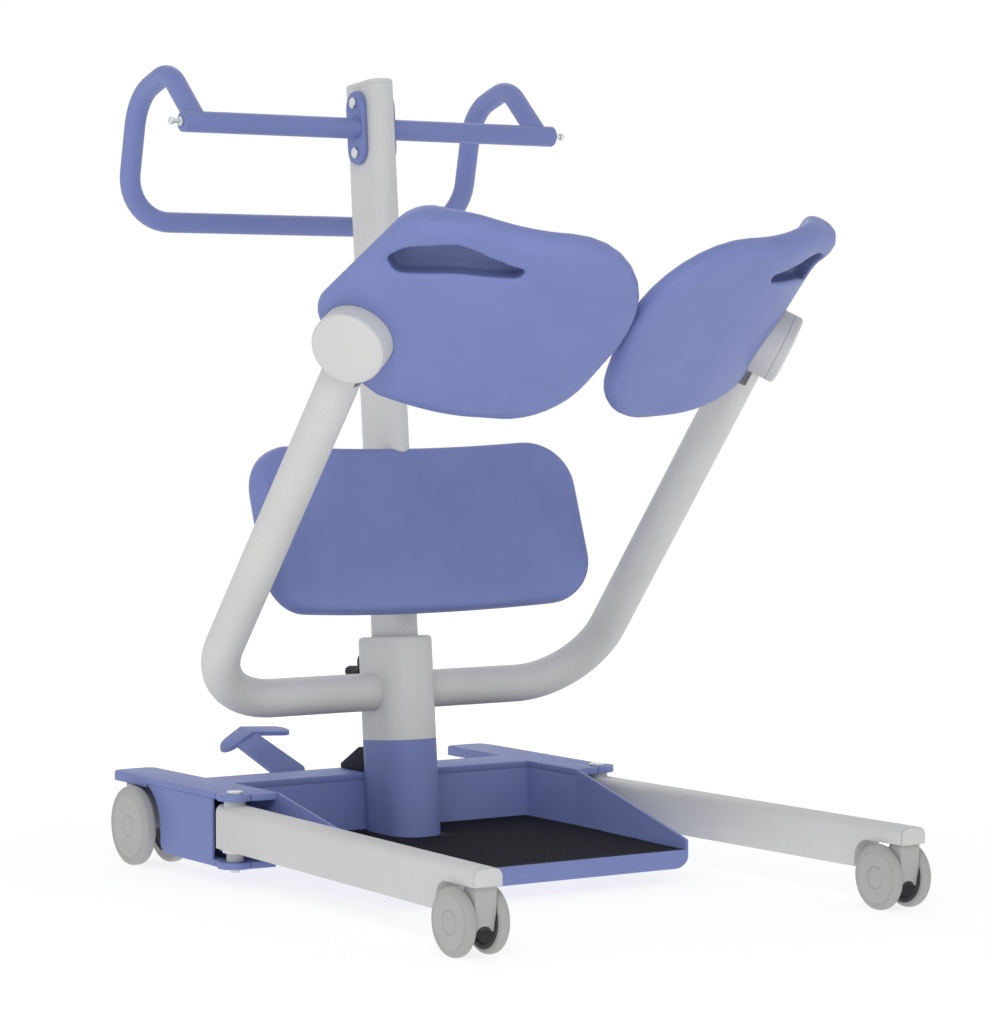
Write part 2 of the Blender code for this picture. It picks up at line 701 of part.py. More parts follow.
def socket_cover():
    """The dark wedge on the beam behind the socket."""
    low = TOP_Z + GAP
    slope_y = COVER_REAR_Y - (COVER_TOP_Z - COVER_LOW_Z) / math.tan(COVER_SLOPE)
    loop = [(MAST_FOOT_Y, low), (COVER_REAR_Y, low), (COVER_REAR_Y, COVER_LOW_Z), (slope_y, COVER_TOP_Z)]
    loop += [(MAST_FOOT_Y, COVER_TOP_Z)]
    cover = plate("socket_rear_cover", [loop], 2 * COVER_HALF_W, SIDE_VIEW, BLACK)
    return cut(cover, mast_oval("cover_place", SLEEVE_W + 2 * GAP, SLEEVE_L + 2 * GAP, 0.05, 0.25),
               box("cover_front", (-0.1, 0.0, 0.0), (0.1, MAST_FOOT_Y + SLEEVE_L / 2 - 0.012, 0.3)))


def leg_pivot_pin():
    """A bolt through both ears, with its head above and its nut end below."""
    low = CHANNEL_Z - PIN_TAIL
    head = TOP_Z + GAP
    profile = [(0, head + PIN_HEAD_H), (PIN_HEAD_R - 0.001, head + PIN_HEAD_H), (PIN_HEAD_R, head + PIN_HEAD_H - 0.001)]
    profile += [(PIN_HEAD_R, head), (PIN_R, head), (PIN_R, low), (0, low)]
    pin = turned("right_leg_pivot_pin", profile, STEEL, 16)
    pin.data.transform(Matrix.Translation((PIVOT_X, PIVOT_Y, 0)))
    return pin


# Legs, drawn straight along -Y from their pivot, then turned to their splay
LEG_SPLAY = math.atan2(FRONT_STEM_X - PIVOT_X, PIVOT_Y - FRONT_STEM_Y)
LEG_STEM = math.hypot(FRONT_STEM_X - PIVOT_X, PIVOT_Y - FRONT_STEM_Y)
LEG_PLACE = Matrix.Translation((PIVOT_X, PIVOT_Y, 0)) @ Matrix.Rotation(LEG_SPLAY, 4, "Z")
ACROSS = Matrix(((1, 0, 0, 0), (0, 0, -1, 0), (0, 1, 0, 0), (0, 0, 0, 1)))
FRONT_SWEEP = math.hypot(FRONT_TRAIL + FRONT_WHEEL_R, FRONT_HALF_W)
ROD_FRONT_Y = CRANK_Y - CRANK_ARM
LEVER_RUN = ROD_FRONT_Y - PIVOT_Y
ROD_TRAVEL = LEVER_RUN * (math.tan(LEG_SPLAY + LEG_SWING) - math.tan(LEG_SPLAY))
LEVER_Z0 = LEG_Z0 - GAP - LEVER_T


def leg_section(z_low):
    half = LEG_W / 2
    r = LEG_EDGE_R
    loop = [(-half, z_low), (half, z_low)]
    loop += arc((half - r, LEG_Z1 - r), r, 0, 90, 4) + arc((-half + r, LEG_Z1 - r), r, 90, 180, 4)
    return loop


def leg():
    nose_y = -(LEG_STEM + LEG_NOSE)
    length = LEG_TAIL - nose_y
    place = Matrix.Translation((0, (LEG_TAIL + nose_y) / 2, 0)) @ ACROSS
    beam = plate("right_leg", [leg_section(LEG_Z0)], length, place, GREY)
    notch_y = -(LEG_STEM - FRONT_SWEEP - NOTCH_CLEAR)
    r = NOTCH_R
    notch = [(notch_y, LEG_Z0 - 0.05)] + arc((notch_y - r, NOSE_Z0 - r), r, 0, 90, 6)
    notch += [(nose_y - 0.05, NOSE_Z0), (nose_y - 0.05, LEG_Z0 - 0.05)]
    beam = cut(beam, plate("nose_notch", [notch], 0.1, SIDE_VIEW))
    core_x = LEG_W / 2 - LEG_WALL
    core = box("leg_core", (-core_x, notch_y + 3 * LEG_WALL, LEG_Z0 + LEG_WALL),
               (core_x, LEG_TAIL + 0.05, LEG_Z1 - LEG_WALL), edge=0.003, segments=1)
    beam = cut(beam, core)
    collar = cylinder("leg_collar", COLLAR_R, (0, 0, LEG_Z1 - 0.002), (0, 0, WALL_TOP_Z), sides=20)
    bush = cylinder("leg_bush", BUSH_R, (0, 0, CHANNEL_Z + PLATE_T + GAP), (0, 0, LEG_Z0 + 0.002), sides=16)
    beam = join(beam, collar, bush)
    bore = cylinder("pin_place", PIN_R + RUN, (0, 0, 0), (0, 0, 0.2), sides=16)
    stem = cylinder("stem_place", STEM_R + RUN, (0, -LEG_STEM, 0),
                    (0, -LEG_STEM, NOSE_Z0 + STEM_L + GAP), sides=16)
    beam = cut(beam, bore, stem)
    beam.data.transform(LEG_PLACE)
    return beam


def leg_nose_cap():
    front = -(LEG_STEM + LEG_NOSE + GAP)
    place = Matrix.Translation((0, front - NOSE_CAP_T / 2, 0)) @ ACROSS
    cap = plate("right_leg_nose_cap", [leg_section(NOSE_Z0)], NOSE_CAP_T, place, GREY, 0.0012, 0)
    cap.data.transform(LEG_PLACE)
    return cap


def slotted(name, spec, z_low, thickness, width, ends, holes, slots):
    """A flat bar along Y with round ends, round holes and lengthwise slots, as (y, radius) and (low, high, radius)."""
    r = width / 2
    loop = arc((0, ends[1]), r, 0, 180, 6) + arc((0, ends[0]), r, 180, 360, 6)
    loops = [loop]
    for y, radius in holes:
        loops.append(circle((0, y), radius, 12)[::-1])
    for low, high, radius in slots:
        loops.append((arc((0, high), radius, 0, 180, 4) + arc((0, low), radius, 180, 360, 4))[::-1])
    return slab(name, loops, z_low, z_low + thickness, spec)


def leg_lever():
    """A flat lever under the leg's root, whose slot takes the link rod's pin."""
    near = LEVER_RUN / math.cos(LEG_SPLAY)
    far = LEVER_RUN / math.cos(LEG_SPLAY + LEG_SWING)
    slot = (near, far, ROD_PIN_R + SLOT_PLAY)
    root = COLLAR_R + 0.002
    lever = slotted("right_leg_lever", STEEL, LEVER_Z0, LEVER_T, LEVER_W, (0, far), [], [slot])
    pad = cylinder("lever_root", root, (0, 0, LEVER_Z0), (0, 0, LEVER_Z0 + LEVER_T), sides=24)
    hole = cylinder("lever_bore", BUSH_R + 2 * GAP, (0, 0, 0), (0, 0, 0.2), sides=16)
    lever = cut(join(lever, pad), hole)
    lever.data.transform(LEG_PLACE)
    return lever


def drive_crank():
    """A two-armed crank at its start, turned so that both rods are out."""
    turn = math.atan2(ROD_TRAVEL / 2, CRANK_ARM)
    reach = CRANK_ARM / math.cos(turn)
    slot_r = ROD_PIN_R + SLOT_PLAY
    slots = [(CRANK_ARM, reach, slot_r), (-reach, -CRANK_ARM, slot_r)]
    crank = slotted("drive_crank", STEEL, LEVER_Z0, CRANK_T, CRANK_W, (-reach, reach),
                    [(0, CRANK_PIN_R + RUN)], slots)
    crank.data.transform(Matrix.Translation((0, CRANK_Y, 0)) @ Matrix.Rotation(-turn, 4, "Z"))
    return crank


def link_rod(name, side, crank_y):
    """A bar above the levers, from a leg's lever to the crank, with a pin down at each end."""
    start = Vector((side * (PIVOT_X - LEVER_RUN * math.tan(LEG_SPLAY)), ROD_FRONT_Y, 0))
    end = Vector((side * ROD_TRAVEL / 2, crank_y, 0))
    z = LEVER_Z0 + LEVER_T + GAP + ROD_R
    along = (end - start).normalized() * ROD_PIN_R
    up = Vector((0, 0, z))
    rod = cylinder(name, ROD_R, start - along + up, end + along + up, STEEL, sides=12)
    for point in (start, end):
        foot = Vector((0, 0, LEVER_Z0 + 0.0005))
        rod = join(rod, cylinder("rod_pin", ROD_PIN_R - 0.0001, point + foot, point + up, sides=16))
    return rod


# Casters
def caster_fork(name, x, y, trail, radius, fork_w, half_w, top_z, stem_l, neck, spec=PLASTIC_GREY):
    """The body between two wheels, with its stem and its axle."""
    hub = (y + trail, radius)
    toward = 1 if trail > 0 else -1
    nose = y - toward * 0.0150
    back = y + toward * 0.0140
    r = 0.0130
    crown = top_z - neck
    loop = [(nose, crown), (back, crown), (hub[0] + toward * r * 0.9, radius + r * 0.6)]
    turn = arc(hub, r, 20, -150, 6) if toward > 0 else arc(hub, r, 160, 330, 6)
    loop += turn
    loop += [(nose + toward * 0.0070, radius - 0.002), (nose + toward * 0.0020, radius + 0.016)]
    fork = plate(name, [loop], fork_w, Matrix.Translation((x, 0, 0)) @ SIDE_VIEW, spec)
    stem = cylinder("stem", STEM_R, (x, y, crown - 0.006), (x, y, top_z + stem_l), sides=16)
    if neck > 0:
        stem = join(stem, cylinder("neck", REAR_NECK_R, (x, y, crown - 0.003), (x, y, top_z), sides=24))
    axle_x = half_w - 0.0030
    axle = cylinder("axle", AXLE_R, (x - axle_x, hub[0], radius), (x + axle_x, hub[0], radius), sides=12)
    fork = join(fork, stem, axle)
    fork.data.transform(Matrix.Translation((-x, -y, -top_z)))
    fork.location = (x, y, top_z)
    return fork


def caster_wheel(name, x, y, radius, fork_w, half_w, side):
    """A wheel on the outer end of an axle, open to the fork and closed outside."""
    width = half_w - fork_w / 2 - GAP
    rim = 0.0065
    bore = AXLE_R + RUN
    depth = width - 0.0030 + 0.0003
    profile = [(0, width)]
    profile += [(radius - rim + rim * math.sin(a), width - rim + rim * math.cos(a))
                for a in (0, math.radians(45), math.radians(90))]
    profile += [(radius - rim + rim * math.cos(a), rim - rim * math.sin(a))
                for a in (0, math.radians(45), math.radians(90))]
    profile += [(bore, 0), (bore, depth), (0, depth)]
    turn = Matrix.Rotation(side * math.pi / 2, 4, "Y")
    start = x + side * (fork_w / 2 + GAP)
    wheel = turned(name, profile, PLASTIC_GREY, 20, Matrix.Translation((start, y, radius)) @ turn)
    set_origin(wheel, (start, y, radius))
    return wheel


def casters():
    kinds = [("front", FRONT_STEM_X, FRONT_STEM_Y, FRONT_TRAIL, FRONT_WHEEL_R, FRONT_FORK_W, FRONT_HALF_W,
              NOSE_Z0 - GAP),
             ("rear", REAR_STEM_X, REAR_STEM_Y, REAR_TRAIL, REAR_WHEEL_R, REAR_FORK_W, REAR_HALF_W,
              PLATE_Z - GAP)]
    for place, x, y, trail, radius, fork_w, half_w, top_z in kinds:
        stem_l = STEM_L if place == "front" else PLATE_T - 0.0020
        neck = 0.0 if place == "front" else REAR_NECK_H
        for word, side in (("left", -1), ("right", 1)):
            fork = caster_fork(f"{word}_{place}_caster_fork", side * x, y, trail, radius, fork_w, half_w, top_z,
                               stem_l, neck)
            for end, way in (("outer", side), ("inner", -side)):
                caster_wheel(f"{word}_{place}_{end}_wheel", side * x, y + trail, radius, fork_w, half_w, way)


# Mast column
def frame_sleeve():
    """The seat frame's sleeve on the socket, closed round the mast at its top."""
    low = SEAM_AT + GAP
    sleeve = mast_oval("frame_sleeve", SLEEVE_W, SLEEVE_L, low - 0.02, SLEEVE_TOP, GREY, bevel=0.0045)
    foot = mast_oval("sleeve_foot", 0.3, 0.4, low - 0.06, low)
    hollow = mast_oval("sleeve_hollow", SLEEVE_W - 2 * SLEEVE_WALL, SLEEVE_L - 2 * SLEEVE_WALL,
                       low - 0.06, SLEEVE_TOP - SLEEVE_LID_T)
    mouth = mast_oval("sleeve_mouth", MAST_W + 2 * SWING, MAST_L + 2 * SWING, low, SLEEVE_TOP + 0.02)
    sleeve = cut(sleeve, foot, hollow, mouth)
    knob = MAST @ Matrix.Translation((0, 0, KNOB_AT))
    collar = cylinder("knob_collar", KNOB_NECK_R + 0.002, knob @ Vector((0, SLEEVE_L / 2 - SLEEVE_WALL / 2, 0)),
                      knob @ Vector((0, SLEEVE_L / 2 + COLLAR_H, 0)), sides=24)
    hole = cylinder("screw_place", KNOB_SCREW_R + RUN, knob @ Vector((0, MAST_L / 2, 0)),
                    knob @ Vector((0, 0.2, 0)), sides=20)
    return cut(join(sleeve, collar), hole)


def mast_guide_bush():
    """The sliding bush between sleeve and mast."""
    high = SLEEVE_TOP - SLEEVE_LID_T - GAP
    bush = mast_ring("mast_guide_bush",
                     (SLEEVE_W - 2 * SLEEVE_WALL - 2 * GAP, SLEEVE_L - 2 * SLEEVE_WALL - 2 * GAP),
                     (MAST_W + 2 * RUN, MAST_L + 2 * RUN), high - BUSH_L, high, BLACK)
    knob = MAST @ Matrix.Translation((0, 0, KNOB_AT))
    return cut(bush, cylinder("screw_place", KNOB_SCREW_R + RUN, knob @ Vector((0, MAST_L / 2 - 0.004, 0)),
                              knob @ Vector((0, 0.2, 0)), sides=20))


def mast_tube():
    mast = mast_ring("mast_tube", (MAST_W, MAST_L), (MAST_W - 2 * MAST_WALL, MAST_L - 2 * MAST_WALL),
                     MAST_BOTTOM, MAST_TOP, GREY)
    for side in (-1, 1):
        at = MAST @ Vector((0, 0, HANDLE_PLATE_AT + side * BOLT_PITCH / 2))
        mast = cut(mast, cylinder("bolt_place", BOLT_R + RUN, at - Vector((0.1, 0, 0)), at + Vector((0.1, 0, 0)),
                                  sides=20))
    return mast


def mast_top_cap():
    low = MAST_TOP + GAP
    return mast_oval("mast_top_cap", MAST_W, MAST_L, low, low + MAST_CAP_T, GREY, 0.0018, 1)


def clamp_knob():
    """A knob with three lobes, one of them up, on a screw that bears on the mast."""
    place = MAST @ Matrix.Translation((0, 0, KNOB_AT)) @ Matrix.Rotation(-math.pi / 2, 4, "X")
    start = SLEEVE_L / 2 + KNOB_STAND
    steps = KNOB_STEPS * KNOB_LOBES
    loop = []
    for i in range(steps):
        a = 2 * math.pi * i / steps
        r = KNOB_R + KNOB_LOBE * math.cos(KNOB_LOBES * (a + math.pi / 2))
        loop.append((r * math.cos(a), r * math.sin(a)))
    knob = plate("clamp_knob", [loop], KNOB_T, Matrix.Translation((0, 0, start + KNOB_T / 2)), BLACK, 0.003, 1)
    boss = cylinder("knob_boss", KNOB_BOSS_R, (0, 0, start + KNOB_T - 0.004),
                    (0, 0, start + KNOB_T + KNOB_BOSS_L), sides=20, edge=0.003)
    neck = cylinder("knob_neck", KNOB_NECK_R, (0, 0, SLEEVE_L / 2 + COLLAR_H + GAP), (0, 0, start + 0.004), sides=16)
    screw = cylinder("knob_screw", KNOB_SCREW_R, (0, 0, MAST_L / 2 + GAP),
                     (0, 0, SLEEVE_L / 2 + COLLAR_H + 0.002), sides=12)
    knob = join(knob, boss, neck, screw)
    knob.data.transform(place)
    set_origin(knob, place @ Vector((0, 0, start)))
    return knob


# Seat frame tubes and hubs
HUB_POINT = HUB_FACE - HUB_AXIS * ARM_DEPTH
ARM_TOP = Vector((FRAME_X, HUB_POINT.y, HUB_POINT.z))
ARM_FOOT = Vector((FRAME_X, FRAME_Y, FRAME_Z))
ARM_DOWN = (ARM_FOOT - ARM_TOP).normalized()
HUB_LOCAL_X = (ARM_DOWN - HUB_AXIS * ARM_DOWN.dot(HUB_AXIS)).normalized()
HUB_LOCAL_Y = HUB_AXIS.cross(HUB_LOCAL_X)
HUB = Matrix.Translation(HUB_FACE) @ Matrix((HUB_LOCAL_X, HUB_LOCAL_Y, HUB_AXIS)).transposed().to_4x4()


def seat_frame_tube():
    path = rounded_path([(0.02, FRAME_Y, FRAME_Z), ARM_FOOT, ARM_TOP], [FRAME_BEND_R], 10)
    bar = tube("right_seat_frame_tube", path, FRAME_R, GREY, 5)
    clear = cylinder("hub_room", LUG_REACH + GAP, HUB @ Vector((0, 0, 0.05)), HUB @ Vector((0, 0, -0.15)), sides=64)
    saddle = mast_oval("sleeve_place", SLEEVE_W + 2 * GAP, SLEEVE_L + 2 * GAP, 0.1, 0.4)
    return cut(bar, clear, saddle)


def seat_hub():
    """The fixed housing of a seat pivot, with the lug that carries it on the frame tube."""
    housing = cylinder("right_seat_hub", HUB_R, (0, 0, -HUB_LEN), (0, 0, -HUB_CAP_T - GAP), GREY, sides=48)
    half = FRAME_R
    rise = LUG_IN - LUG_OUT
    crown = [(half * math.cos(a), -LUG_IN + rise * math.sin(a))
             for a in (math.radians(18 * i) for i in range(0, 11))]
    lug = plate("hub_lug", [crown], LUG_REACH + 0.02, Matrix.Translation(((LUG_REACH + 0.02) / 2, 0, 0)) @ SIDE_VIEW)
    room = cylinder("lug_end", LUG_REACH, (0, 0, 0.02), (0, 0, -0.08), sides=64)
    lug = combine(lug, room, "INTERSECT")
    bore = cylinder("shaft_place", SHAFT_R + RUN, (0, 0, 0.02), (0, 0, -0.08), sides=24)
    hub = cut(join(housing, lug), bore)
    hub.data.transform(HUB)
    return hub


def seat_hub_cap():
    r, t, e = HUB_R, HUB_CAP_T, HUB_CAP_EDGE
    profile = [(0, 0)] + [(r - e + e * math.sin(a), -e + e * math.cos(a))
                          for a in (math.radians(30 * i) for i in range(4))]
    profile += [(r, -t), (0, -t)]
    cap = turned("right_seat_hub_cap", profile, GREY, 32)
    cap.data.transform(HUB)
    return cap


def seat_pivot_shaft():
    """The shaft that turns in the hub, with the flange that carries the seat half."""
    top = -HUB_CAP_T - 2 * GAP - 0.001
    flange = -HUB_LEN - GAP
    profile = [(0, top), (SHAFT_R, top), (SHAFT_R, flange), (FLANGE_R, flange), (FLANGE_R, flange - FLANGE_T)]
    profile += [(0, flange - FLANGE_T)]
    shaft = turned("right_seat_pivot_shaft", profile, STEEL, 20)
    shaft.data.transform(HUB)
    set_origin(shaft, HUB_POINT)
    return shaft


def seat_outline():
    """The seat half's outer loop, open round its hub, in the flat blank."""
    low = SEAT_CORNERS[0][1]
    corners = [(0.262, low - 0.006), *((s, t) for s, t, _ in SEAT_CORNERS), (0.351, -0.017)]
    path = rounded_path([(s, t, 0) for s, t in corners], [r for _, _, r in SEAT_CORNERS], 4)
    loop = [(p.x, p.y) for p in path] + arc((SEAT_HUB_S, 0), SEAT_HUB_EDGE_R, -35, -100, 5)
    return loop + [(0.282, low)]


def grip_outline():
    """The loop of the hand hold's recess, in the flat blank."""
    corners = [(s, t, 0) for s, t, _ in GRIP_CORNERS]
    start = [(Vector(corners[0]) + Vector(corners[-1])) / 2]
    path = rounded_path(start + corners + start, [r for _, _, r in GRIP_CORNERS], 2)
    return [(p.x, p.y) for p in path[:-1]]


def ramp(at, low, high):
    """0 below low, 1 above high, and a soft step between them."""
    share = min(1.0, max(0.0, (at - low) / (high - low)))
    return share * share * (3 - 2 * share)


def seat_surface(s, t, w):
    """A point of the blank on the rolled seat: w is the height over its middle surface, on the sitting side."""
    def roll(at):
        if at <= SEAT_FLAT:
            return Vector((at * math.cos(SEAT_SLOPE), at * math.sin(SEAT_SLOPE))), SEAT_SLOPE
        angle = SEAT_SLOPE + (at - SEAT_FLAT) / SEAT_BEND_R
        start = Vector((math.cos(SEAT_SLOPE), math.sin(SEAT_SLOPE))) * SEAT_FLAT
        bend = Vector((math.sin(angle) - math.sin(SEAT_SLOPE), math.cos(SEAT_SLOPE) - math.cos(angle)))
        return start + bend * SEAT_BEND_R, angle
    here, angle = roll(s)
    hub, _ = roll(SEAT_HUB_S)
    w *= 1 + SEAT_SWELL * ramp(s, *SEAT_SWELL_S) * ramp(t, *SEAT_SWELL_T)
    x = here.x - hub.x - w * math.sin(angle)
    h = here.y - hub.y + w * math.cos(angle)
    rise = Vector((0, math.cos(SEAT_PITCH), math.sin(SEAT_PITCH)))
    up = Vector((0, -math.sin(SEAT_PITCH), math.cos(SEAT_PITCH)))
    middle = HUB_FACE - HUB_AXIS * (SEAT_DEPTH + SEAT_T / 2)
    return middle + Vector((x, 0, 0)) + rise * h + up * t


def bent_pad(name, loops, thickness, edge, steps, stations, surface, spec):
    """A rounded blank, cut across at the stations and moved point by point onto its surface."""
    blank = plate(name, loops, thickness, Matrix(), spec, edge, steps)
    bm = bmesh.new()
    bm.from_mesh(blank.data)
    for at in stations:
        bmesh.ops.bisect_plane(bm, geom=bm.verts[:] + bm.edges[:] + bm.faces[:], plane_co=(at, 0, 0),
                               plane_no=(1, 0, 0), dist=0.00002)
    for vert in bm.verts:
        vert.co = surface(*vert.co)
    bmesh.ops.triangulate(bm, faces=bm.faces)
    face_outward(bm)
    bm.to_mesh(blank.data)
    bm.free()
    return blank


def seat_pad():
    stations = [SEAT_FLAT + i * SEAT_BEND_R * math.radians(7.2) for i in range(8)]
    pad = bent_pad("right_seat_pad", [seat_outline()], SEAT_T, SEAT_EDGE_R, 2, stations, seat_surface, PAD_BLUE)
    recess = bent_pad("grip_recess", [grip_outline()], 2 * GRIP_DEPTH, GRIP_EDGE_R, 0, stations,
                      lambda s, t, w: seat_surface(s, t, w - SEAT_T / 2), None)
    pocket = cylinder("hub_pocket", HUB_R + SWING, HUB @ Vector((0, 0, 0.02)),
                      HUB @ Vector((0, 0, -HUB_LEN - GAP - FLANGE_T - GAP)), sides=36)
    pad = cut(pad, recess, pocket)
    set_origin(pad, HUB_POINT)
    return pad


# Shin pad on the mast
SHIN = Matrix.Translation((0, SHIN_Y, SHIN_Z)) @ Matrix.Rotation(math.pi / 2 - SHIN_LEAN, 4, "X")


def shin_surface(u, v, w):
    """A point of the flat blank on the curved pad: w is the height over its middle surface, on the user's side."""
    angle = u / SHIN_BEND_R
    return SHIN @ Vector(((SHIN_BEND_R - w) * math.sin(angle), v, w * math.cos(angle) + SHIN_BEND_R * (1 - math.cos(angle))))


def shin_pad():
    half = SHIN_H / 2
    loop = rounded_rect(-SHIN_HALF_W, -half, SHIN_HALF_W, half, [SHIN_CORNER_R, SHIN_CORNER_R, SHIN_TOP_R, SHIN_TOP_R], 6)
    stations = [SHIN_HALF_W * (i - 4) / 4.5 for i in range(9)]
    pad = bent_pad("shin_pad", [loop], SHIN_T, SHIN_EDGE_R, 2, stations, shin_surface, PAD_BLUE)
    return cut(pad, mast_oval("mast_groove", MAST_W + 2 * SWING, MAST_L + 2 * SWING, 0.3, 0.7))


def shin_pad_bracket():
    """A plate behind the pad with a block that sits on the mast's front."""
    back = -SHIN_T / 2 - GAP
    low = -SHIN_H / 2 + 0.012
    plate_box = box("shin_pad_bracket", (-BRACKET_W / 2, low, back - BRACKET_T), (BRACKET_W / 2, low + BRACKET_H, back),
                    STEEL)
    block = box("bracket_block", (-BRACKET_BLOCK_W / 2, low + 0.010, back - 0.06),
                (BRACKET_BLOCK_W / 2, low + BRACKET_H - 0.004, back - 0.001))
    bracket = join(plate_box, block)
    bracket.data.transform(SHIN)
    grown = mast_oval("mast_room", MAST_W + 2 * GAP, MAST_L + 2 * GAP, 0.2, 0.7)
    behind = box("behind_mast", (-0.2, 0.0, -0.2), (0.2, 0.3, 0.3))
    behind.data.transform(MAST @ Matrix.Translation((0, -MAST_L / 2 + MAST_W / 2, 0.45)))
    return cut(bracket, grown, behind)


# Handlebar
def handlebar_plate():
    inner = MAST_W / 2 + GAP
    place = MAST @ Matrix.Translation((inner + HANDLE_PLATE_T / 2, 0, HANDLE_PLATE_AT)) @ SIDE_VIEW
    bar = plate("right_handlebar_plate", [obround(HANDLE_PLATE_W, HANDLE_PLATE_L, 8)], HANDLE_PLATE_T, place, BLUE,
                0.0015, 0)
    for side in (-1, 1):
        at = MAST @ Vector((0, 0, HANDLE_PLATE_AT + side * BOLT_PITCH / 2))
        bar = cut(bar, cylinder("bolt_place", BOLT_R + RUN, at, at + Vector((0.1, 0, 0)), sides=20))
    return bar


def handlebar_bolt(name, side):
    """A bolt through both plates and the mast, with a low head at each end."""
    at = MAST @ Vector((0, 0, HANDLE_PLATE_AT + side * BOLT_PITCH / 2))
    seat = MAST_W / 2 + GAP + HANDLE_PLATE_T + GAP
    top = seat + BOLT_HEAD_H
    profile = [(0, top), (BOLT_HEAD_R - 0.001, top), (BOLT_HEAD_R, top - 0.001), (BOLT_HEAD_R, seat), (BOLT_R, seat)]
    profile += [(r, -z) for r, z in reversed(profile)]
    return turned(name, profile, STEEL, 16, Matrix.Translation(at) @ Matrix.Rotation(math.pi / 2, 4, "Y"))


def crossbar():
    start = MAST_W / 2 + GAP + HANDLE_PLATE_T + GAP
    return cylinder("right_crossbar", BAR_R, (start, BAR_Y, BAR_Z), (BAR_END_X, BAR_Y, BAR_Z), BLUE, sides=24,
                    edge=0.0015)


def handlebar_tube():
    half = [(LOOP_X, BAR_Y, BAR_Z), (LOOP_X, LOOP_RISE_Y, LOOP_RISE_Z), (LOOP_X, LOOP_FALL_Y, LOOP_FALL_Z)]
    half.append((LOOP_X, REAR_BAR_Y, REAR_BAR_Z))
    corners = half + [(-x, y, z) for x, y, z in reversed(half)]
    path = rounded_path(corners, [LOOP_TOP_R, LOOP_REAR_R, REAR_BEND_R, REAR_BEND_R, LOOP_REAR_R, LOOP_TOP_R], 5)
    bar = tube("handlebar_tube", path, BAR_R, BLUE, 3)
    saddle = cylinder("crossbar_place", BAR_R + GAP, (-0.4, BAR_Y, BAR_Z), (0.4, BAR_Y, BAR_Z), sides=28)
    return cut(bar, saddle)


def end_stud():
    """The bright stud with a round head in the crossbar's end."""
    profile = [(0, STUD_L), (STUD_HEAD_R - 0.0012, STUD_L), (STUD_HEAD_R, STUD_L - 0.0015)]
    profile += [(STUD_HEAD_R, STUD_L - 0.0045), (STUD_R, STUD_L - 0.0055), (STUD_R, 0.0040)]
    profile += [(STUD_HEAD_R + 0.001, 0.0030), (STUD_HEAD_R + 0.001, 0), (0, 0)]
    start = Matrix.Translation((BAR_END_X + GAP, BAR_Y, BAR_Z)) @ Matrix.Rotation(math.pi / 2, 4, "Y")
    return turned("right_end_stud", profile, STEEL, 12, start)


# Pedal
def tread_drop(x):
    """How far the tread lies below its bend at x: a little inward, much outward."""
    past = x - TREAD_BEND_X
    return past * math.tan(TREAD_FALL) if past > 0 else -past * math.tan(TREAD_DROOP)


def foot_pedal():
    """A barrel in the pedal ears, a rising arm and a tread whose outer lobe droops."""
    barrel = cylinder("foot_pedal", PEDAL_BARREL_R, (PEDAL_X - PEDAL_W / 2, PEDAL_Y, PEDAL_Z),
                      (PEDAL_X + PEDAL_W / 2, PEDAL_Y, PEDAL_Z), BLUE, sides=24)
    reach = PEDAL_W / 2 + PEDAL_EAR_T
    pin = cylinder("pedal_pin", PEDAL_PIN_R, (PEDAL_X - reach, PEDAL_Y, PEDAL_Z),
                   (PEDAL_X + reach, PEDAL_Y, PEDAL_Z), sides=16)
    start = Vector((PEDAL_Y, PEDAL_Z + PEDAL_BARREL_R / 2))
    knee = Vector((PEDAL_Y + 0.0090, TOP_Z))
    end = Vector((TREAD_Y + 0.0040, TREAD_Z))
    tip = end + Vector((math.cos(TREAD_RISE), math.sin(TREAD_RISE))) * TREAD_D / 2
    across = Vector(((end - knee).y, -(end - knee).x)).normalized() * -PEDAL_T
    arm = [start + Vector((-PEDAL_T / 2, 0)), start + Vector((PEDAL_T / 2, -0.002)), knee - across / 2, end - across / 2]
    arm += [tip - Vector((0, PEDAL_T / 3)), tip + Vector((0, PEDAL_T / 3)), end + across / 2, knee + across / 2]
    strip = plate("pedal_arm", [[(p.x, p.y) for p in arm]], PEDAL_W, Matrix.Translation((PEDAL_X, 0, 0)) @ SIDE_VIEW)
    r = TREAD_D / 2 - 0.001
    loop = rounded_rect(TREAD_OUT_X, TREAD_Y, TREAD_IN_X, TREAD_Y + TREAD_D, [r] * 4, 6)
    tread = plate("pedal_tread", [loop], PEDAL_T, Matrix.Translation((0, 0, TREAD_Z)))
    bm = bmesh.new()
    bm.from_mesh(tread.data)
    bmesh.ops.bisect_plane(bm, geom=bm.verts[:] + bm.edges[:] + bm.faces[:], plane_co=(TREAD_BEND_X, 0, 0),
                           plane_no=(1, 0, 0), dist=0.00001)
    for vert in bm.verts:
        vert.co.z += (vert.co.y - TREAD_Y) * math.tan(TREAD_RISE) - tread_drop(vert.co.x)
    bm.to_mesh(tread.data)
    bm.free()
    for vert in strip.data.vertices:
        rise = min(1.0, max(0.0, (vert.co.y - knee.x) / (end.x - knee.x)))
        if vert.co.x > PEDAL_X:
            vert.co.x -= max(0.0, vert.co.y - knee.x) * PEDAL_SKEW
        vert.co.z -= tread_drop(vert.co.x) * rise
    pedal = join(barrel, pin, strip, tread)
    set_origin(pedal, (PEDAL_X, PEDAL_Y, PEDAL_Z))
    return pedal


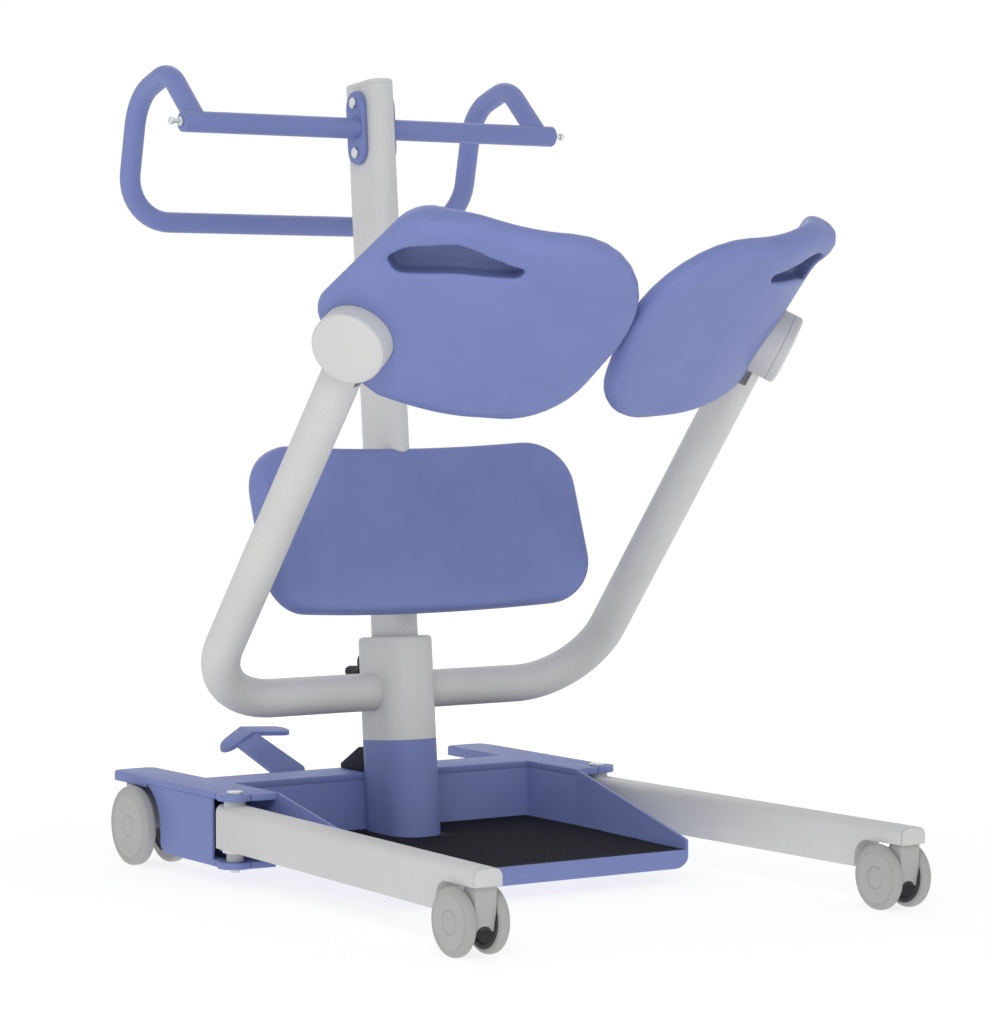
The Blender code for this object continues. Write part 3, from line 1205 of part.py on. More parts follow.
# Assembly
footplate_tray()
footplate_mat()
base_top_plate()
base_bottom_channel()
mast_socket()
socket_cover()
frame_sleeve()
mast_guide_bush()
mast_tube()
mast_top_cap()
clamp_knob()
shin_pad()
shin_pad_bracket()
handlebar_tube()
handlebar_bolt("upper_handlebar_bolt", 1)
handlebar_bolt("lower_handlebar_bolt", -1)
foot_pedal()
casters()
drive_crank()
link_rod("left_link_rod", -1, ROD_FRONT_Y)
link_rod("right_link_rod", 1, CRANK_Y + CRANK_ARM)

TWINS = [side_skirt(), leg_pivot_pin(), leg(), leg_nose_cap(), leg_lever(), seat_frame_tube(), seat_hub(),
         seat_hub_cap(), seat_pivot_shaft(), seat_pad(), handlebar_plate(), crossbar(), end_stud()]
for made in TWINS:
    twin = mirrored(made, made.name.replace("right_", "left_"))
    twin.location = (-made.location.x, made.location.y, made.location.z)
for made in list(PARTS.objects):
    if "leg" in made.name and "pin" not in made.name:
        side = -1 if made.name.startswith("left") else 1
        set_origin(made, (side * PIVOT_X, PIVOT_Y, LEG_Z0))
for made in PARTS.objects:
    made.data.shade_smooth()
    made.data.set_sharp_from_angle(angle=math.radians(32))
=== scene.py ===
# %% [markdown]
# # Dressing a manual stand lift
# The solids of the lift come in ready measured and hinged, as a frame that never moves. This script
# gives them the looks of the real thing: moulded foam pads, powder-coated steel, grey casters, a ribbed
# rubber mat and plated fasteners.

# %% The frame comes in
import json
from math import copysign, cos, exp, hypot, pi, radians, sin, sqrt, tan
from types import SimpleNamespace

import bmesh
import bpy
from bmesh import ops
from bmesh.types import BMEdge, BMesh, BMVert
from mathutils import Matrix, Vector
from mathutils.kdtree import KDTree

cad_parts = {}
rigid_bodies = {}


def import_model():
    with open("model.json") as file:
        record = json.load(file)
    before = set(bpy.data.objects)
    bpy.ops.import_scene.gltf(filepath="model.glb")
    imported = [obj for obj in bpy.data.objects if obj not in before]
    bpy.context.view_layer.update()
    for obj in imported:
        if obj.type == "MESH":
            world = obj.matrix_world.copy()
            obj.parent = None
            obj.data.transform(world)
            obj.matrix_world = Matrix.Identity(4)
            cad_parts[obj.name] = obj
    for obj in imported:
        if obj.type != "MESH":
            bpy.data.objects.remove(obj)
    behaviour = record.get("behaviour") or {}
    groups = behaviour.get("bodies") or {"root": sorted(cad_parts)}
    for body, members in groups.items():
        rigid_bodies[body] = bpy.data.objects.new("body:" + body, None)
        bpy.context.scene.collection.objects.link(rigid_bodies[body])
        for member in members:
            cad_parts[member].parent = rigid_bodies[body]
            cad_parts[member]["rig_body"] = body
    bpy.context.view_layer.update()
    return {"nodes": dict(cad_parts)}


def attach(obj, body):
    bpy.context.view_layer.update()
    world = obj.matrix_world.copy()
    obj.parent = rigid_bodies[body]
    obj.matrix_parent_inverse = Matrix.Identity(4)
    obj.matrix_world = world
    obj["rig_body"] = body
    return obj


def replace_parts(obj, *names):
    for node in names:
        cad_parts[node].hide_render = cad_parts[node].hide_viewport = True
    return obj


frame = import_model()

# %% [markdown]
# ## The camera
# The picture was taken from the lift's front left, a little above its middle, with a long lens that
# keeps upright things nearly upright. The camera needs a place, a direction and a focal length, and the
# long side of the frame is the height.

# %% The camera
IMAGE_W, IMAGE_H = 989, 1024
CAMERA_AT = Vector((-2.36224, -3.65144, 0.666118))
CAMERA_TURN = radians(-33.089)
CAMERA_DOWN = radians(2.554)
FOCAL_PIXELS = 3434.2
SENSOR = 36.0

scene = bpy.context.scene


def linked(name, data):
    """A new object in the scene."""
    made = bpy.data.objects.new(name, data)
    scene.collection.objects.link(made)
    return made


camera = linked("photo_camera", bpy.data.cameras.new("photo_camera"))
camera.data.sensor_width = SENSOR
camera.data.lens = FOCAL_PIXELS * SENSOR / IMAGE_H
camera.location = CAMERA_AT
level_part = cos(CAMERA_DOWN)
sight = Vector((-sin(CAMERA_TURN) * level_part, cos(CAMERA_TURN) * level_part, -sin(CAMERA_DOWN)))
camera.rotation_mode = "QUATERNION"
camera.rotation_quaternion = sight.to_track_quat("-Z", "Y")
scene.camera = camera
print("lens of", round(camera.data.lens, 1), "mm for a picture of", IMAGE_W, "by", IMAGE_H)

# %% [markdown]
# ## Writing a finish as sums
# A material in Blender is a graph of nodes. A small class wraps a socket, so that adding or multiplying
# two of them puts the Math node in place. Every other node comes from one method that takes its type, its
# settings and what goes into its sockets.


# %% Sockets that add and multiply
class Wire:
    """One output of a graph's nodes, on which sums can be written."""

    def __init__(self, graph, socket):
        self.graph = graph
        self.socket = socket

    def sum(self, operation, *values):
        return self.graph.add("ShaderNodeMath", {"operation": operation}, *values)

    def __add__(self, other):
        return self.sum("ADD", self, other)

    __radd__ = __add__

    def __mul__(self, other):
        return self.sum("MULTIPLY", self, other)

    __rmul__ = __mul__

    def larger(self, other):
        return self.sum("MAXIMUM", self, other)

    def between(self, low, high):
        """0 below low, 1 above high, and a soft step between them."""
        soft = {"interpolation_type": "SMOOTHSTEP"}
        return self.graph.add("ShaderNodeMapRange", soft, self, low, high, 0.0, 1.0)


class Graph:
    """Shader nodes that are added one by one."""

    def __init__(self, tree):
        self.tree = tree

    def put(self, value, socket):
        if isinstance(value, Wire):
            self.tree.links.new(value.socket, socket)
        else:
            socket.default_value = value

    def add(self, kind, settings, *values, out=None, **named):
        """A node of this kind, with its settings first and then its inputs in order or by name."""
        node = self.tree.nodes.new(kind)
        for setting, value in settings.items():
            setattr(node, setting, value)
        inputs = [s for s in node.inputs if s.enabled]
        for value, socket in zip(values, inputs):
            self.put(value, socket)
        for name, value in named.items():
            self.put(value, next(s for s in inputs if s.name == name))
        return Wire(self, next(s for s in node.outputs if s.enabled and out in (None, s.name)))


class Finish(Graph):
    """A material. What stays the same all over it is said when it is made."""

    def __init__(self, name, **constants):
        self.material = bpy.data.materials.new(name)
        self.material.use_nodes = True
        super().__init__(self.material.node_tree)
        self.shader = self.tree.nodes["Principled BSDF"]
        self.feed(**constants)

    def feed(self, **sockets):
        for name, value in sockets.items():
            self.put(value, self.shader.inputs[name.replace("_", " ")])
        return self.material

    def place(self):
        """The point on the piece, in metres."""
        return self.add("ShaderNodeTexCoord", {}, out="Object")

    def noise(self, scale, detail=2.0, roughness=0.5, at=None):
        """Noise with this many grains in a metre."""
        return self.add("ShaderNodeTexNoise", {}, Vector=at or self.place(), Scale=scale, Detail=detail,
                        Roughness=roughness)

    def blend(self, factor, first, second):
        """A colour between two colours."""
        return self.add("ShaderNodeMix", {"data_type": "RGBA"}, Factor=factor, A=first, B=second)

    def bump(self, height, distance, strength, on=None):
        """Relief of this many metres, on top of another relief if there is one."""
        below = {"Normal": on} if on else {}
        return self.add("ShaderNodeBump", {}, Height=height, Distance=distance, Strength=strength, **below)


def tone(red, green, blue):
    """A screen colour, 0 to 255, as the linear light that a shader works in, by the sRGB curve."""
    shares = [value / 255 for value in (red, green, blue)]
    linear = [c / 12.92 if c <= 0.04045 else ((c + 0.055) / 1.055) ** 2.4 for c in shares]
    return (*linear, 1.0)


def worn(roughness, swing, pattern):
    """A roughness that a pattern moves up or down by at most swing."""
    return roughness - swing + pattern * (2 * swing)


print("finishes can be written as sums")

# %% [markdown]
# ## Powder coat
# The steel is sprayed with a dry powder and baked. The skin is even and satin, with a very fine grain and
# a faint orange peel that only shows where light glances off it, and its gloss changes a little where
# hands and shoes rub. The first line says how many of each come in a metre, and the second how high
# they stand.

# %% Powder-coated steel, in blue and in light grey
PAINT_GRAINS, PAINT_PEELS, PAINT_CLOUDS, PAINT_RUBS = 1150.0, 430.0, 9.0, 26.0
PAINT_GRAIN_H, PAINT_PEEL_H = 0.00005, 0.00016
PAINT_SHINE = 0.3


def powder_coat(name, colour, dark, roughness):
    coat = Finish(name, Roughness=roughness, Specular_IOR_Level=PAINT_SHINE)
    grain = coat.noise(PAINT_GRAINS, 3.0, 0.7).between(0.34, 0.66)
    cloud = coat.noise(PAINT_CLOUDS).between(0.3, 0.7)
    speck = grain * 0.75 + cloud * 0.25
    peel = coat.bump(coat.noise(PAINT_PEELS, 1.0), PAINT_PEEL_H, 0.5)
    rough = worn(roughness, 0.05, coat.noise(PAINT_RUBS, 3.0))
    return coat.feed(Base_Color=coat.blend(speck, dark, colour), Roughness=rough,
                     Normal=coat.bump(grain, PAINT_GRAIN_H, 0.35, on=peel))


BLUE_PAINT = powder_coat("blue_powder_coat", tone(123, 135, 191), tone(113, 125, 178), 0.5)
GREY_PAINT = powder_coat("light_grey_powder_coat", tone(214, 214, 213), tone(199, 199, 199), 0.48)
BLUE, GREY = ("blue_paint", BLUE_PAINT), ("grey_paint", GREY_PAINT)
print("two powder coats")

# %% [markdown]
# ## The skin of the pads
# The seat halves and the shin pad are moulded foam with a skin of their own, so there is no cover and no
# seam. The skin is smooth and slightly soft, with fine pebbling pressed in by the mould. Voronoi cells
# give pebbles with valleys between them, and a wide soft noise keeps the gloss from being perfect.

# %% Moulded foam skin
SKIN_PEBBLES, SKIN_GRAINS, SKIN_WAVES, SKIN_CLOUDS, SKIN_RUBS = 620.0, 1500.0, 55.0, 14.0, 40.0
SKIN_PEBBLE_H, SKIN_WAVE_H = 0.0001, 0.0004
SKIN_ROUGHNESS = 0.5
SKIN_SHINE = 0.3


def foam_skin(name, colour, dark):
    skin = Finish(name, Roughness=SKIN_ROUGHNESS, Specular_IOR_Level=SKIN_SHINE)
    at = skin.place()
    pebble = skin.add("ShaderNodeTexVoronoi", {"feature": "SMOOTH_F1"}, Vector=at, Scale=SKIN_PEBBLES,
                      Smoothness=0.6)
    fine = skin.noise(SKIN_GRAINS, at=at)
    broad = skin.noise(SKIN_CLOUDS, at=at).between(0.3, 0.7)
    relief = skin.bump(skin.noise(SKIN_WAVES, at=at), SKIN_WAVE_H, 0.12)
    rough = worn(SKIN_ROUGHNESS, 0.06, skin.noise(SKIN_RUBS, 3.0, at=at))
    return skin.feed(Base_Color=skin.blend(broad * 0.5 + fine * 0.5, dark, colour), Roughness=rough,
                     Normal=skin.bump(pebble, SKIN_PEBBLE_H, 0.22, on=relief))


PAD_SKIN = foam_skin("blue_foam_skin", tone(121, 133, 189), tone(113, 125, 180))
# The recess skin is a darker blue: painted shade for the inside of the hand hold.
RECESS_SHADE_SKIN = foam_skin("recess_foam_skin", tone(98, 108, 155), tone(88, 97, 140))
print("two foam skins")

# %% [markdown]
# ## Plastics, rubber and plated steel
# The casters are grey nylon, moulded smooth, with tyres of a softer and duller grey. Inside their hoods and
# behind their wheels, where hardly any light comes, a darker grey is painted on as shade. The knob and the
# cover behind the mast are black moulded plastic. The mat is black rubber. Pins, bolts and studs are zinc
# plated: metallic, a little cloudy, and not mirror bright.

# %% Moulded plastics and rubber
MOULD_GRAINS, MOULD_CLOUDS, MOULD_RUBS = 900.0, 30.0, 70.0
MOULD_GRAIN_H = 0.00006
ZINC_GRAINS, ZINC_CLOUDS = 2600.0, 120.0
ZINC_GRAIN_H = 0.00003


def moulded(name, colour, dark, roughness, grain=MOULD_GRAINS, depth=MOULD_GRAIN_H, shine=0.4):
    plastic = Finish(name, Roughness=roughness, Specular_IOR_Level=shine)
    at = plastic.place()
    fine = plastic.noise(grain, 2.0, 0.6, at=at)
    broad = plastic.noise(MOULD_CLOUDS, at=at)
    rough = worn(roughness, 0.06, plastic.noise(MOULD_RUBS, 3.0, at=at))
    return plastic.feed(Base_Color=plastic.blend(fine * 0.6 + broad * 0.4, dark, colour), Roughness=rough,
                        Normal=plastic.bump(fine, depth, 0.3))


CASTER_GREY = moulded("grey_nylon", tone(180, 180, 178), tone(168, 168, 166), 0.42)
# A darker grey, painted shade for the faces inside the hoods and behind the wheels.
PAINTED_SHADE_GREY = moulded("dark_grey_nylon", tone(92, 92, 96), tone(66, 66, 70), 0.7, shine=0.1)
TYRE_GREY = moulded("grey_tyre", tone(174, 174, 172), tone(162, 162, 161), 0.62, grain=1300.0)
KNOB_BLACK = moulded("black_plastic", tone(34, 35, 42), tone(24, 25, 31), 0.6, shine=0.15)
MAT_RUBBER = moulded("black_rubber", tone(40, 41, 49), tone(28, 29, 35), 0.75, grain=1600.0, depth=0.0001,
                     shine=0.1)


def plated(name, colour, dark, roughness):
    """Zinc plate with a fine grain and soft clouds."""
    steel = Finish(name, Roughness=roughness, Metallic=1.0)
    at = steel.place()
    cloud = steel.noise(ZINC_CLOUDS, at=at)
    return steel.feed(Base_Color=steel.blend(cloud, dark, colour), Roughness=worn(roughness, 0.08, cloud),
                      Normal=steel.bump(steel.noise(ZINC_GRAINS, at=at), ZINC_GRAIN_H, 0.25))


STEEL = plated("zinc_plated_steel", tone(226, 226, 226), tone(196, 197, 200), 0.26)
print("three greys, two blacks and one plated steel")

# %% [markdown]
# ## Reading the solids
# Many pieces below start from a node's own mesh, so that they sit exactly where it sits: the loose
# triangles are merged, flat faces are joined again, and the sharp edges get the small round that a press,
# a laser or a mould leaves.

# %% Pieces made from a node's own shape
SOFT_ANGLE = radians(35)
ROUND_ANGLE = radians(50)
SHARP_ANGLE = radians(40)
FLAT_ANGLE = radians(0.6)
WELD = 0.000005
NODE_WELD = 0.00001


def piece(name, mesh, body, slot, *materials):
    """An object at the origin that rides on its body."""
    mesh.name = name
    marks = [face.material_index for face in mesh.polygons]
    mesh.materials.clear()
    for material in materials:
        mesh.materials.append(material)
    mesh.polygons.foreach_set("material_index", [min(mark, len(materials) - 1) for mark in marks])
    made = linked(name, mesh)
    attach(made, body)
    return made


def as_mesh(shape, name="made"):
    """The mesh of a bmesh, which is used up, or the mesh itself."""
    if not isinstance(shape, BMesh):
        return shape
    mesh = bpy.data.meshes.new(name)
    shape.to_mesh(mesh)
    shape.free()
    return mesh


def shaded(mesh, angle=SOFT_ANGLE):
    """The mesh shaded smooth, with the edges beyond this angle left sharp."""
    mesh.shade_smooth()
    mesh.set_sharp_from_angle(angle=angle)
    return mesh


def finish_mesh(bm, angle=SOFT_ANGLE, outward=True):
    """The bmesh as a mesh with its faces outward and its soft edges shaded smooth."""
    ops.remove_doubles(bm, verts=bm.verts, dist=WELD)
    if outward:
        ops.recalc_face_normals(bm, faces=bm.faces)
    return shaded(as_mesh(bm), angle)


def merged(node):
    """A bmesh copy of a node, with its triangles joined again."""
    bm = bmesh.new()
    bm.from_mesh(frame["nodes"][node].data)
    ops.remove_doubles(bm, verts=bm.verts, dist=NODE_WELD)
    ops.dissolve_limit(bm, angle_limit=FLAT_ANGLE, verts=bm.verts, edges=bm.edges,
                       use_dissolve_boundaries=False)
    return bm


def middle(edge):
    return (edge.verts[0].co + edge.verts[1].co) / 2


def round_edges(bm, edges, radius, segments, clamp=False):
    ops.bevel(bm, geom=edges, offset=radius, segments=segments, profile=0.5, material=-1,
              affect="EDGES", clamp_overlap=clamp)


def eased(node, slot, material, width, segments=2, broad=None, broad_width=0.0):
    """A copy of a node whose sharp edges are rounded, those that broad picks with a round of their own."""
    bm = merged(node)
    rounds = [(broad, broad_width, 4)] if broad else []
    for test, radius, steps in rounds + [(lambda at: True, width, segments)]:
        bm.normal_update()
        sharp = [e for e in bm.edges if len(e.link_faces) == 2 and e.calc_face_angle(0.0) > SHARP_ANGLE
                 and test(middle(e))]
        round_edges(bm, sharp, radius, steps, clamp=True)
    made = piece(node + "_form", finish_mesh(bm), frame["nodes"][node]["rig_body"], slot, material)
    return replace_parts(made, node)


print("pieces can be made from nodes")

# %% [markdown]
# ## Sweeping and turning
# A bent tube starts as a ring that is pulled along the straights and spun round the bends, as in a tube
# bender. A turned part is a profile spun once round its axis, as on a lathe.


# %% Bent tubes and turned parts
def only(kind, geometry):
    return [item for item in geometry if isinstance(item, kind)]


def bent_tube(corners, radii, radius, sides, steps):
    """A round bar through the corners, each bent to its own radius."""
    bm = bmesh.new()
    corners = [Vector(c) for c in corners]
    here, heading = corners[0], (corners[1] - corners[0]).normalized()
    place = Matrix.Translation(here) @ heading.to_track_quat("Z", "Y").to_matrix().to_4x4()
    ops.create_circle(bm, cap_ends=True, segments=sides, radius=radius, matrix=place)
    ring = bm.edges[:]

    def pull(edges, run):
        made = ops.extrude_edge_only(bm, edges=edges)["geom"]
        ops.translate(bm, vec=run, verts=only(BMVert, made))
        return only(BMEdge, made)

    for corner, after, bend in zip(corners[1:], corners[2:], radii):
        out = (after - corner).normalized()
        angle = heading.angle(out)
        reach = bend * tan(angle / 2)
        start = corner - heading * reach
        ring = pull(ring, start - here)
        inward = (out - heading * heading.dot(out)).normalized()
        turn = ops.spin(bm, geom=ring, cent=start + inward * bend, axis=heading.cross(out).normalized(),
                        angle=angle, steps=steps)
        ring = only(BMEdge, turn["geom_last"])
        here, heading = corner + out * reach, out
    ring = pull(ring, corners[-1] - here)
    ops.contextual_create(bm, geom=ring)
    ops.recalc_face_normals(bm, faces=bm.faces)
    return bm


def turned(profile, steps, place=Matrix()):
    """Radius and height points spun once round Z, then put in place."""
    bm = bmesh.new()
    points = [bm.verts.new((r, 0.0, z)) for r, z in profile]
    edges = [bm.edges.new(pair) for pair in zip(points, points[1:])]
    ops.spin(bm, geom=points + edges, cent=(0, 0, 0), axis=(0, 0, 1), angle=2 * pi, steps=steps, use_merge=True)
    ops.remove_doubles(bm, verts=bm.verts, dist=WELD)
    ops.recalc_face_normals(bm, faces=bm.faces)
    bm.transform(place)
    return bm


def rod(radius, low, high, steps, place=Matrix()):
    return turned([(0, low), (radius, low), (radius, high), (0, high)], steps, place)


def soft_corner(radius, height, edge, steps=5):
    """The points of a quarter round between a turned part's side and its top."""
    return [(radius - edge + edge * cos(a), height - edge + edge * sin(a))
            for a in (pi / 2 * i / steps for i in range(steps + 1))]


# %% Ovals
OVAL_STEPS = 20
TOUCH = 1e-6


def oval_outline(bm, width, length):
    """The edge of a flat-sided oval on the XY plane, spun round its two ends."""
    r, run = width / 2, length / 2 - width / 2

    def end_round(corner, y):
        spun = ops.spin(bm, geom=[corner], cent=(0, y, 0), axis=(0, 0, 1), angle=pi, steps=OVAL_STEPS)
        return only(BMVert, spun["geom_last"])[0]

    first = bm.verts.new((r, run, 0))
    corner = ops.extrude_vert_indiv(bm, verts=[end_round(first, run)])["verts"][0]
    ops.translate(bm, vec=(0, -2 * run, 0), verts=[corner])
    bm.edges.new((end_round(corner, -run), first))
    return bm.edges[:]


def oval_bar(width, length, low, high, place, edge=0.0):
    """A solid oval bar between two heights, its top rim rounded by edge."""
    bm = bmesh.new()
    ops.contextual_create(bm, geom=oval_outline(bm, width, length))
    ops.translate(bm, vec=(0, 0, low), verts=bm.verts)
    top = ops.extrude_face_region(bm, geom=bm.faces[:])["geom"]
    ops.translate(bm, vec=(0, 0, high - low), verts=only(BMVert, top))
    if edge:
        round_edges(bm, [e for e in bm.edges if all(abs(v.co.z - high) < TOUCH for v in e.verts)], edge, 4)
    ops.recalc_face_normals(bm, faces=bm.faces)
    bm.transform(place)
    return bm


print("tubes, ovals and turned parts can be made")

# %% [markdown]
# ## Cutting one piece with another
# Some pieces have a recess, a pocket or an end that is fitted to a round neighbour. A boolean does what a
# saw or a milling cutter does on the real part. The ends of a cutting tool lie well clear of what it cuts.


# %% Cutting, joining and mirroring
def applied(obj):
    """The object's mesh with its modifiers in it. The object is removed."""
    bpy.context.view_layer.update()
    mesh = bpy.data.meshes.new_from_object(obj.evaluated_get(bpy.context.evaluated_depsgraph_get()))
    bpy.data.objects.remove(obj)
    return mesh


def cut(target, *tools):
    """The target's mesh less the tools."""
    body = linked("target", as_mesh(target))
    for tool in tools:
        cutter = linked("tool", as_mesh(tool))
        step = body.modifiers.new("cut", "BOOLEAN")
        step.operation = "DIFFERENCE"
        step.solver = "EXACT"
        step.object = cutter
        body = linked("target", applied(body))
        bpy.data.objects.remove(cutter)
    mesh = body.data
    bpy.data.objects.remove(body)
    return mesh


def joined(*shapes):
    """One bmesh of several meshes or bmeshes, which are used up."""
    bm = bmesh.new()
    for mesh in map(as_mesh, shapes):
        bm.from_mesh(mesh)
        bpy.data.meshes.remove(mesh)
    return bm


def block(low, high):
    """A plain box between two corners."""
    low, high = Vector(low), Vector(high)
    bm = bmesh.new()
    place = Matrix.Translation((low + high) / 2) @ Matrix.Diagonal((*(high - low), 1))
    ops.create_cube(bm, size=1.0, matrix=place)
    return bm


def reflected(mesh):
    """The same mesh on the other side of the lift."""
    twin = mesh.copy()
    twin.transform(Matrix.Scale(-1, 4, (1, 0, 0)))
    twin.flip_normals()
    return twin


def on_side(side, mesh):
    """A mesh of the right side, or its reflection for the left."""
    return mesh if side == "right" else reflected(mesh)


print("pieces can be cut, joined and mirrored")

# %% [markdown]
# ## The seat halves
# Each half is one moulded foam shell on a stiff core, shaped like half of a shallow bowl, and easier to make
# flat. A corner of its outline says how far along the slope it lies, how far across, and how round it is.
# The face has a wide soft round. The outer side is a second, thinner blank a little inside the first, with a
# crisper edge, so a faint crease runs between the two. An even remesh makes them one skin that can bend
# anywhere, the outer rim falls away, and then every point is rolled to the seat's hollow.

# %% The blanks of a seat half
SEAT_CORNERS = [(0.032, -0.062, 0.095), (0.000, 0.082, 0.15), (0.002, 0.232, 0.125), (0.25, 0.222, 0.1),
                (0.326, 0.194, 0.058), (0.378, -0.001, 0.034)]
SEAT_LOW_T = SEAT_CORNERS[0][1]
SEAT_START = (0.262, SEAT_LOW_T - 0.006)
SEAT_END = (0.351, -0.017)
SEAT_NECK_S = 0.282
GRIP_CORNERS = [(0.18, 0.165, 0.0045), (0.25, 0.146, 0.15), (0.306, 0.112, 0.009), (0.324, 0.123, 0.01),
                (0.308, 0.156, 0.04), (0.26, 0.188, 0.045), (0.174, 0.179, 0.0045)]
SEAT_T = 0.032
SEAT_EDGE_R = 0.013
OUTER_T = 0.018
OUTER_EDGE_R = 0.004
OUTER_INSET = 0.003
SEAT_HUB_S = 0.31
SEAT_HUB_EDGE_R = 0.053
SEAT_HUB_ARC = (-35, -100)
GRIP_DEPTH = 0.019
GRIP_EDGE_R = 0.003
BLANK_WELD = 0.00002


def rounded(corners, radii, steps=8):
    """Flat points through corners, each inner corner rounded by its own radius."""
    points = [Vector(corners[0])]
    for before, corner, after, radius in zip(corners, corners[1:], corners[2:], radii):
        before, corner, after = Vector(before), Vector(corner), Vector(after)
        into, out = (corner - before).normalized(), (after - corner).normalized()
        angle = into.angle(out)
        start = corner - into * radius * tan(angle / 2)
        side = (out - into * into.dot(out)).normalized()
        centre = start + side * radius
        for turn in (angle * i / steps for i in range(steps + 1)):
            points.append(centre - side * radius * cos(turn) + into * radius * sin(turn))
    return points + [Vector(corners[-1])]


def round_arc(centre, radius, start, end, steps):
    return [Vector((centre[0] + radius * cos(a), centre[1] + radius * sin(a)))
            for a in (radians(start + (end - start) * i / steps) for i in range(steps + 1))]


def seat_outline():
    corners = [SEAT_START, *((s, t) for s, t, _ in SEAT_CORNERS), SEAT_END]
    loop = rounded(corners, [r for _, _, r in SEAT_CORNERS])
    hub_round = round_arc((SEAT_HUB_S, 0), SEAT_HUB_EDGE_R, *SEAT_HUB_ARC, 7)
    return loop + hub_round + [Vector((SEAT_NECK_S, SEAT_LOW_T))]


def grip_outline():
    corners = [(s, t) for s, t, _ in GRIP_CORNERS]
    start = [tuple((Vector(corners[0]) + Vector(corners[-1])) / 2)]
    return rounded(start + corners + start, [r for _, _, r in GRIP_CORNERS], 5)[:-1]


def closed_blank(loop, thickness, edge, rounds=5, inset=0.0):
    """A flat closed form from its outline, with both rims rounded by edge."""
    curve = bpy.data.curves.new("blank", "CURVE")
    curve.dimensions = "2D"
    curve.fill_mode = "BOTH"
    curve.extrude = thickness / 2 - edge
    curve.bevel_depth = edge
    curve.bevel_resolution = rounds
    curve.offset = -edge - inset
    if sum(a.x * b.y - b.x * a.y for a, b in zip(loop, loop[1:] + loop[:1])) < 0:
        loop = loop[::-1]
    line = curve.splines.new("POLY")
    line.points.add(len(loop) - 1)
    line.use_cyclic_u = True
    for point, at in zip(line.points, loop):
        point.co = (at.x, at.y, 0.0, 1.0)
    bm = joined(applied(linked("blank", curve)))
    ops.remove_doubles(bm, verts=bm.verts, dist=BLANK_WELD)
    ops.recalc_face_normals(bm, faces=bm.faces)
    return as_mesh(bm)


def remeshed(shape, size, relax):
    """The same form in even small faces, relaxed a little."""
    obj = linked("blank", as_mesh(shape))
    remesh = obj.modifiers.new("even", "REMESH")
    remesh.mode = "VOXEL"
    remesh.voxel_size = size
    smooth = obj.modifiers.new("relax", "SMOOTH")
    smooth.factor = 0.5
    smooth.iterations = relax
    return applied(obj)


seat_blank = closed_blank(seat_outline(), SEAT_T, SEAT_EDGE_R)
outer_blank = closed_blank(seat_outline(), OUTER_T, OUTER_EDGE_R, 3, OUTER_INSET)
outer_blank.transform(Matrix.Translation((0, 0, (OUTER_T - SEAT_T) / 2)))
grip_tool = closed_blank(grip_outline(), 2 * GRIP_DEPTH, GRIP_EDGE_R, 3)
grip_tool.transform(Matrix.Translation((0, 0, -SEAT_T / 2)))
print("seat blank with", len(seat_blank.vertices), "points")

# %% [markdown]
# The hand hold is a blind recess in the outer face, for a carer to pull the half round by. It is cut while
# the blanks are flat, and the remesh softens its lip. Then the bowl is rolled: along the slope the half
# stays flat for 140 mm and then follows a 270 mm radius. The tip, which the user sits on, is thicker.

# %% Rolling the seat half
SEAT_PITCH = radians(45.5)
SEAT_SLOPE = radians(7.0)
SEAT_FLAT = 0.14
SEAT_BEND_R = 0.27
SEAT_DEPTH = 0.03
SEAT_VOXEL = 0.0028
SEAT_SWELL = 0.56
SEAT_SWELL_S = (0.235, 0.315)
SEAT_SWELL_T = (0.105, 0.17)
HUB_FACE = Vector((0.3248, -0.2086, 0.6759))
HUB_AXIS = Vector((0.735, -0.51, -0.445)).normalized()
HUB_R = 0.045
RIM_WIDE = 0.017
RIM_FALL = 0.4
RECESS_FROM, RECESS_TO = Vector((0.12, 0.1)), Vector((0.34, 0.2))
RECESS_LIP = 0.0035
RECESS_PAST = 0.002
RECESS_INSIDE = 0.016


def roll(at):
    """Where the bowl's section is after going this far along it, and how steep it is there."""
    if at <= SEAT_FLAT:
        return Vector((at * cos(SEAT_SLOPE), at * sin(SEAT_SLOPE))), SEAT_SLOPE
    angle = SEAT_SLOPE + (at - SEAT_FLAT) / SEAT_BEND_R
    start = Vector((cos(SEAT_SLOPE), sin(SEAT_SLOPE))) * SEAT_FLAT
    bend = Vector((sin(angle) - sin(SEAT_SLOPE), cos(SEAT_SLOPE) - cos(angle)))
    return start + bend * SEAT_BEND_R, angle


def ramp(at, low, high):
    share = min(1.0, max(0.0, (at - low) / (high - low)))
    return share * share * (3 - 2 * share)


def seat_surface(s, t, w):
    """The rolled place of a point of the flat half."""
    w *= 1 + SEAT_SWELL * ramp(s, *SEAT_SWELL_S) * ramp(t, *SEAT_SWELL_T)
    here, angle = roll(s)
    hub, _ = roll(SEAT_HUB_S)
    x = here.x - hub.x - w * sin(angle)
    h = here.y - hub.y + w * cos(angle)
    rise = Vector((0, cos(SEAT_PITCH), sin(SEAT_PITCH)))
    up = Vector((0, -sin(SEAT_PITCH), cos(SEAT_PITCH)))
    return HUB_FACE - HUB_AXIS * (SEAT_DEPTH + SEAT_T / 2) + Vector((x, 0, 0)) + rise * h + up * t


def edge_distance(loop):
    """A function that says how far a flat point lies from the outline."""
    spans = [(a, b - a) for a, b in zip(loop, loop[1:] + loop[:1])]

    def far(x, y):
        best = 1.0
        for a, run in spans:
            px, py = x - a.x, y - a.y
            along = max(0.0, min(1.0, (px * run.x + py * run.y) / max(run.x ** 2 + run.y ** 2, 1e-12)))
            best = min(best, (px - run.x * along) ** 2 + (py - run.y * along) ** 2)
        return sqrt(best)
    return far


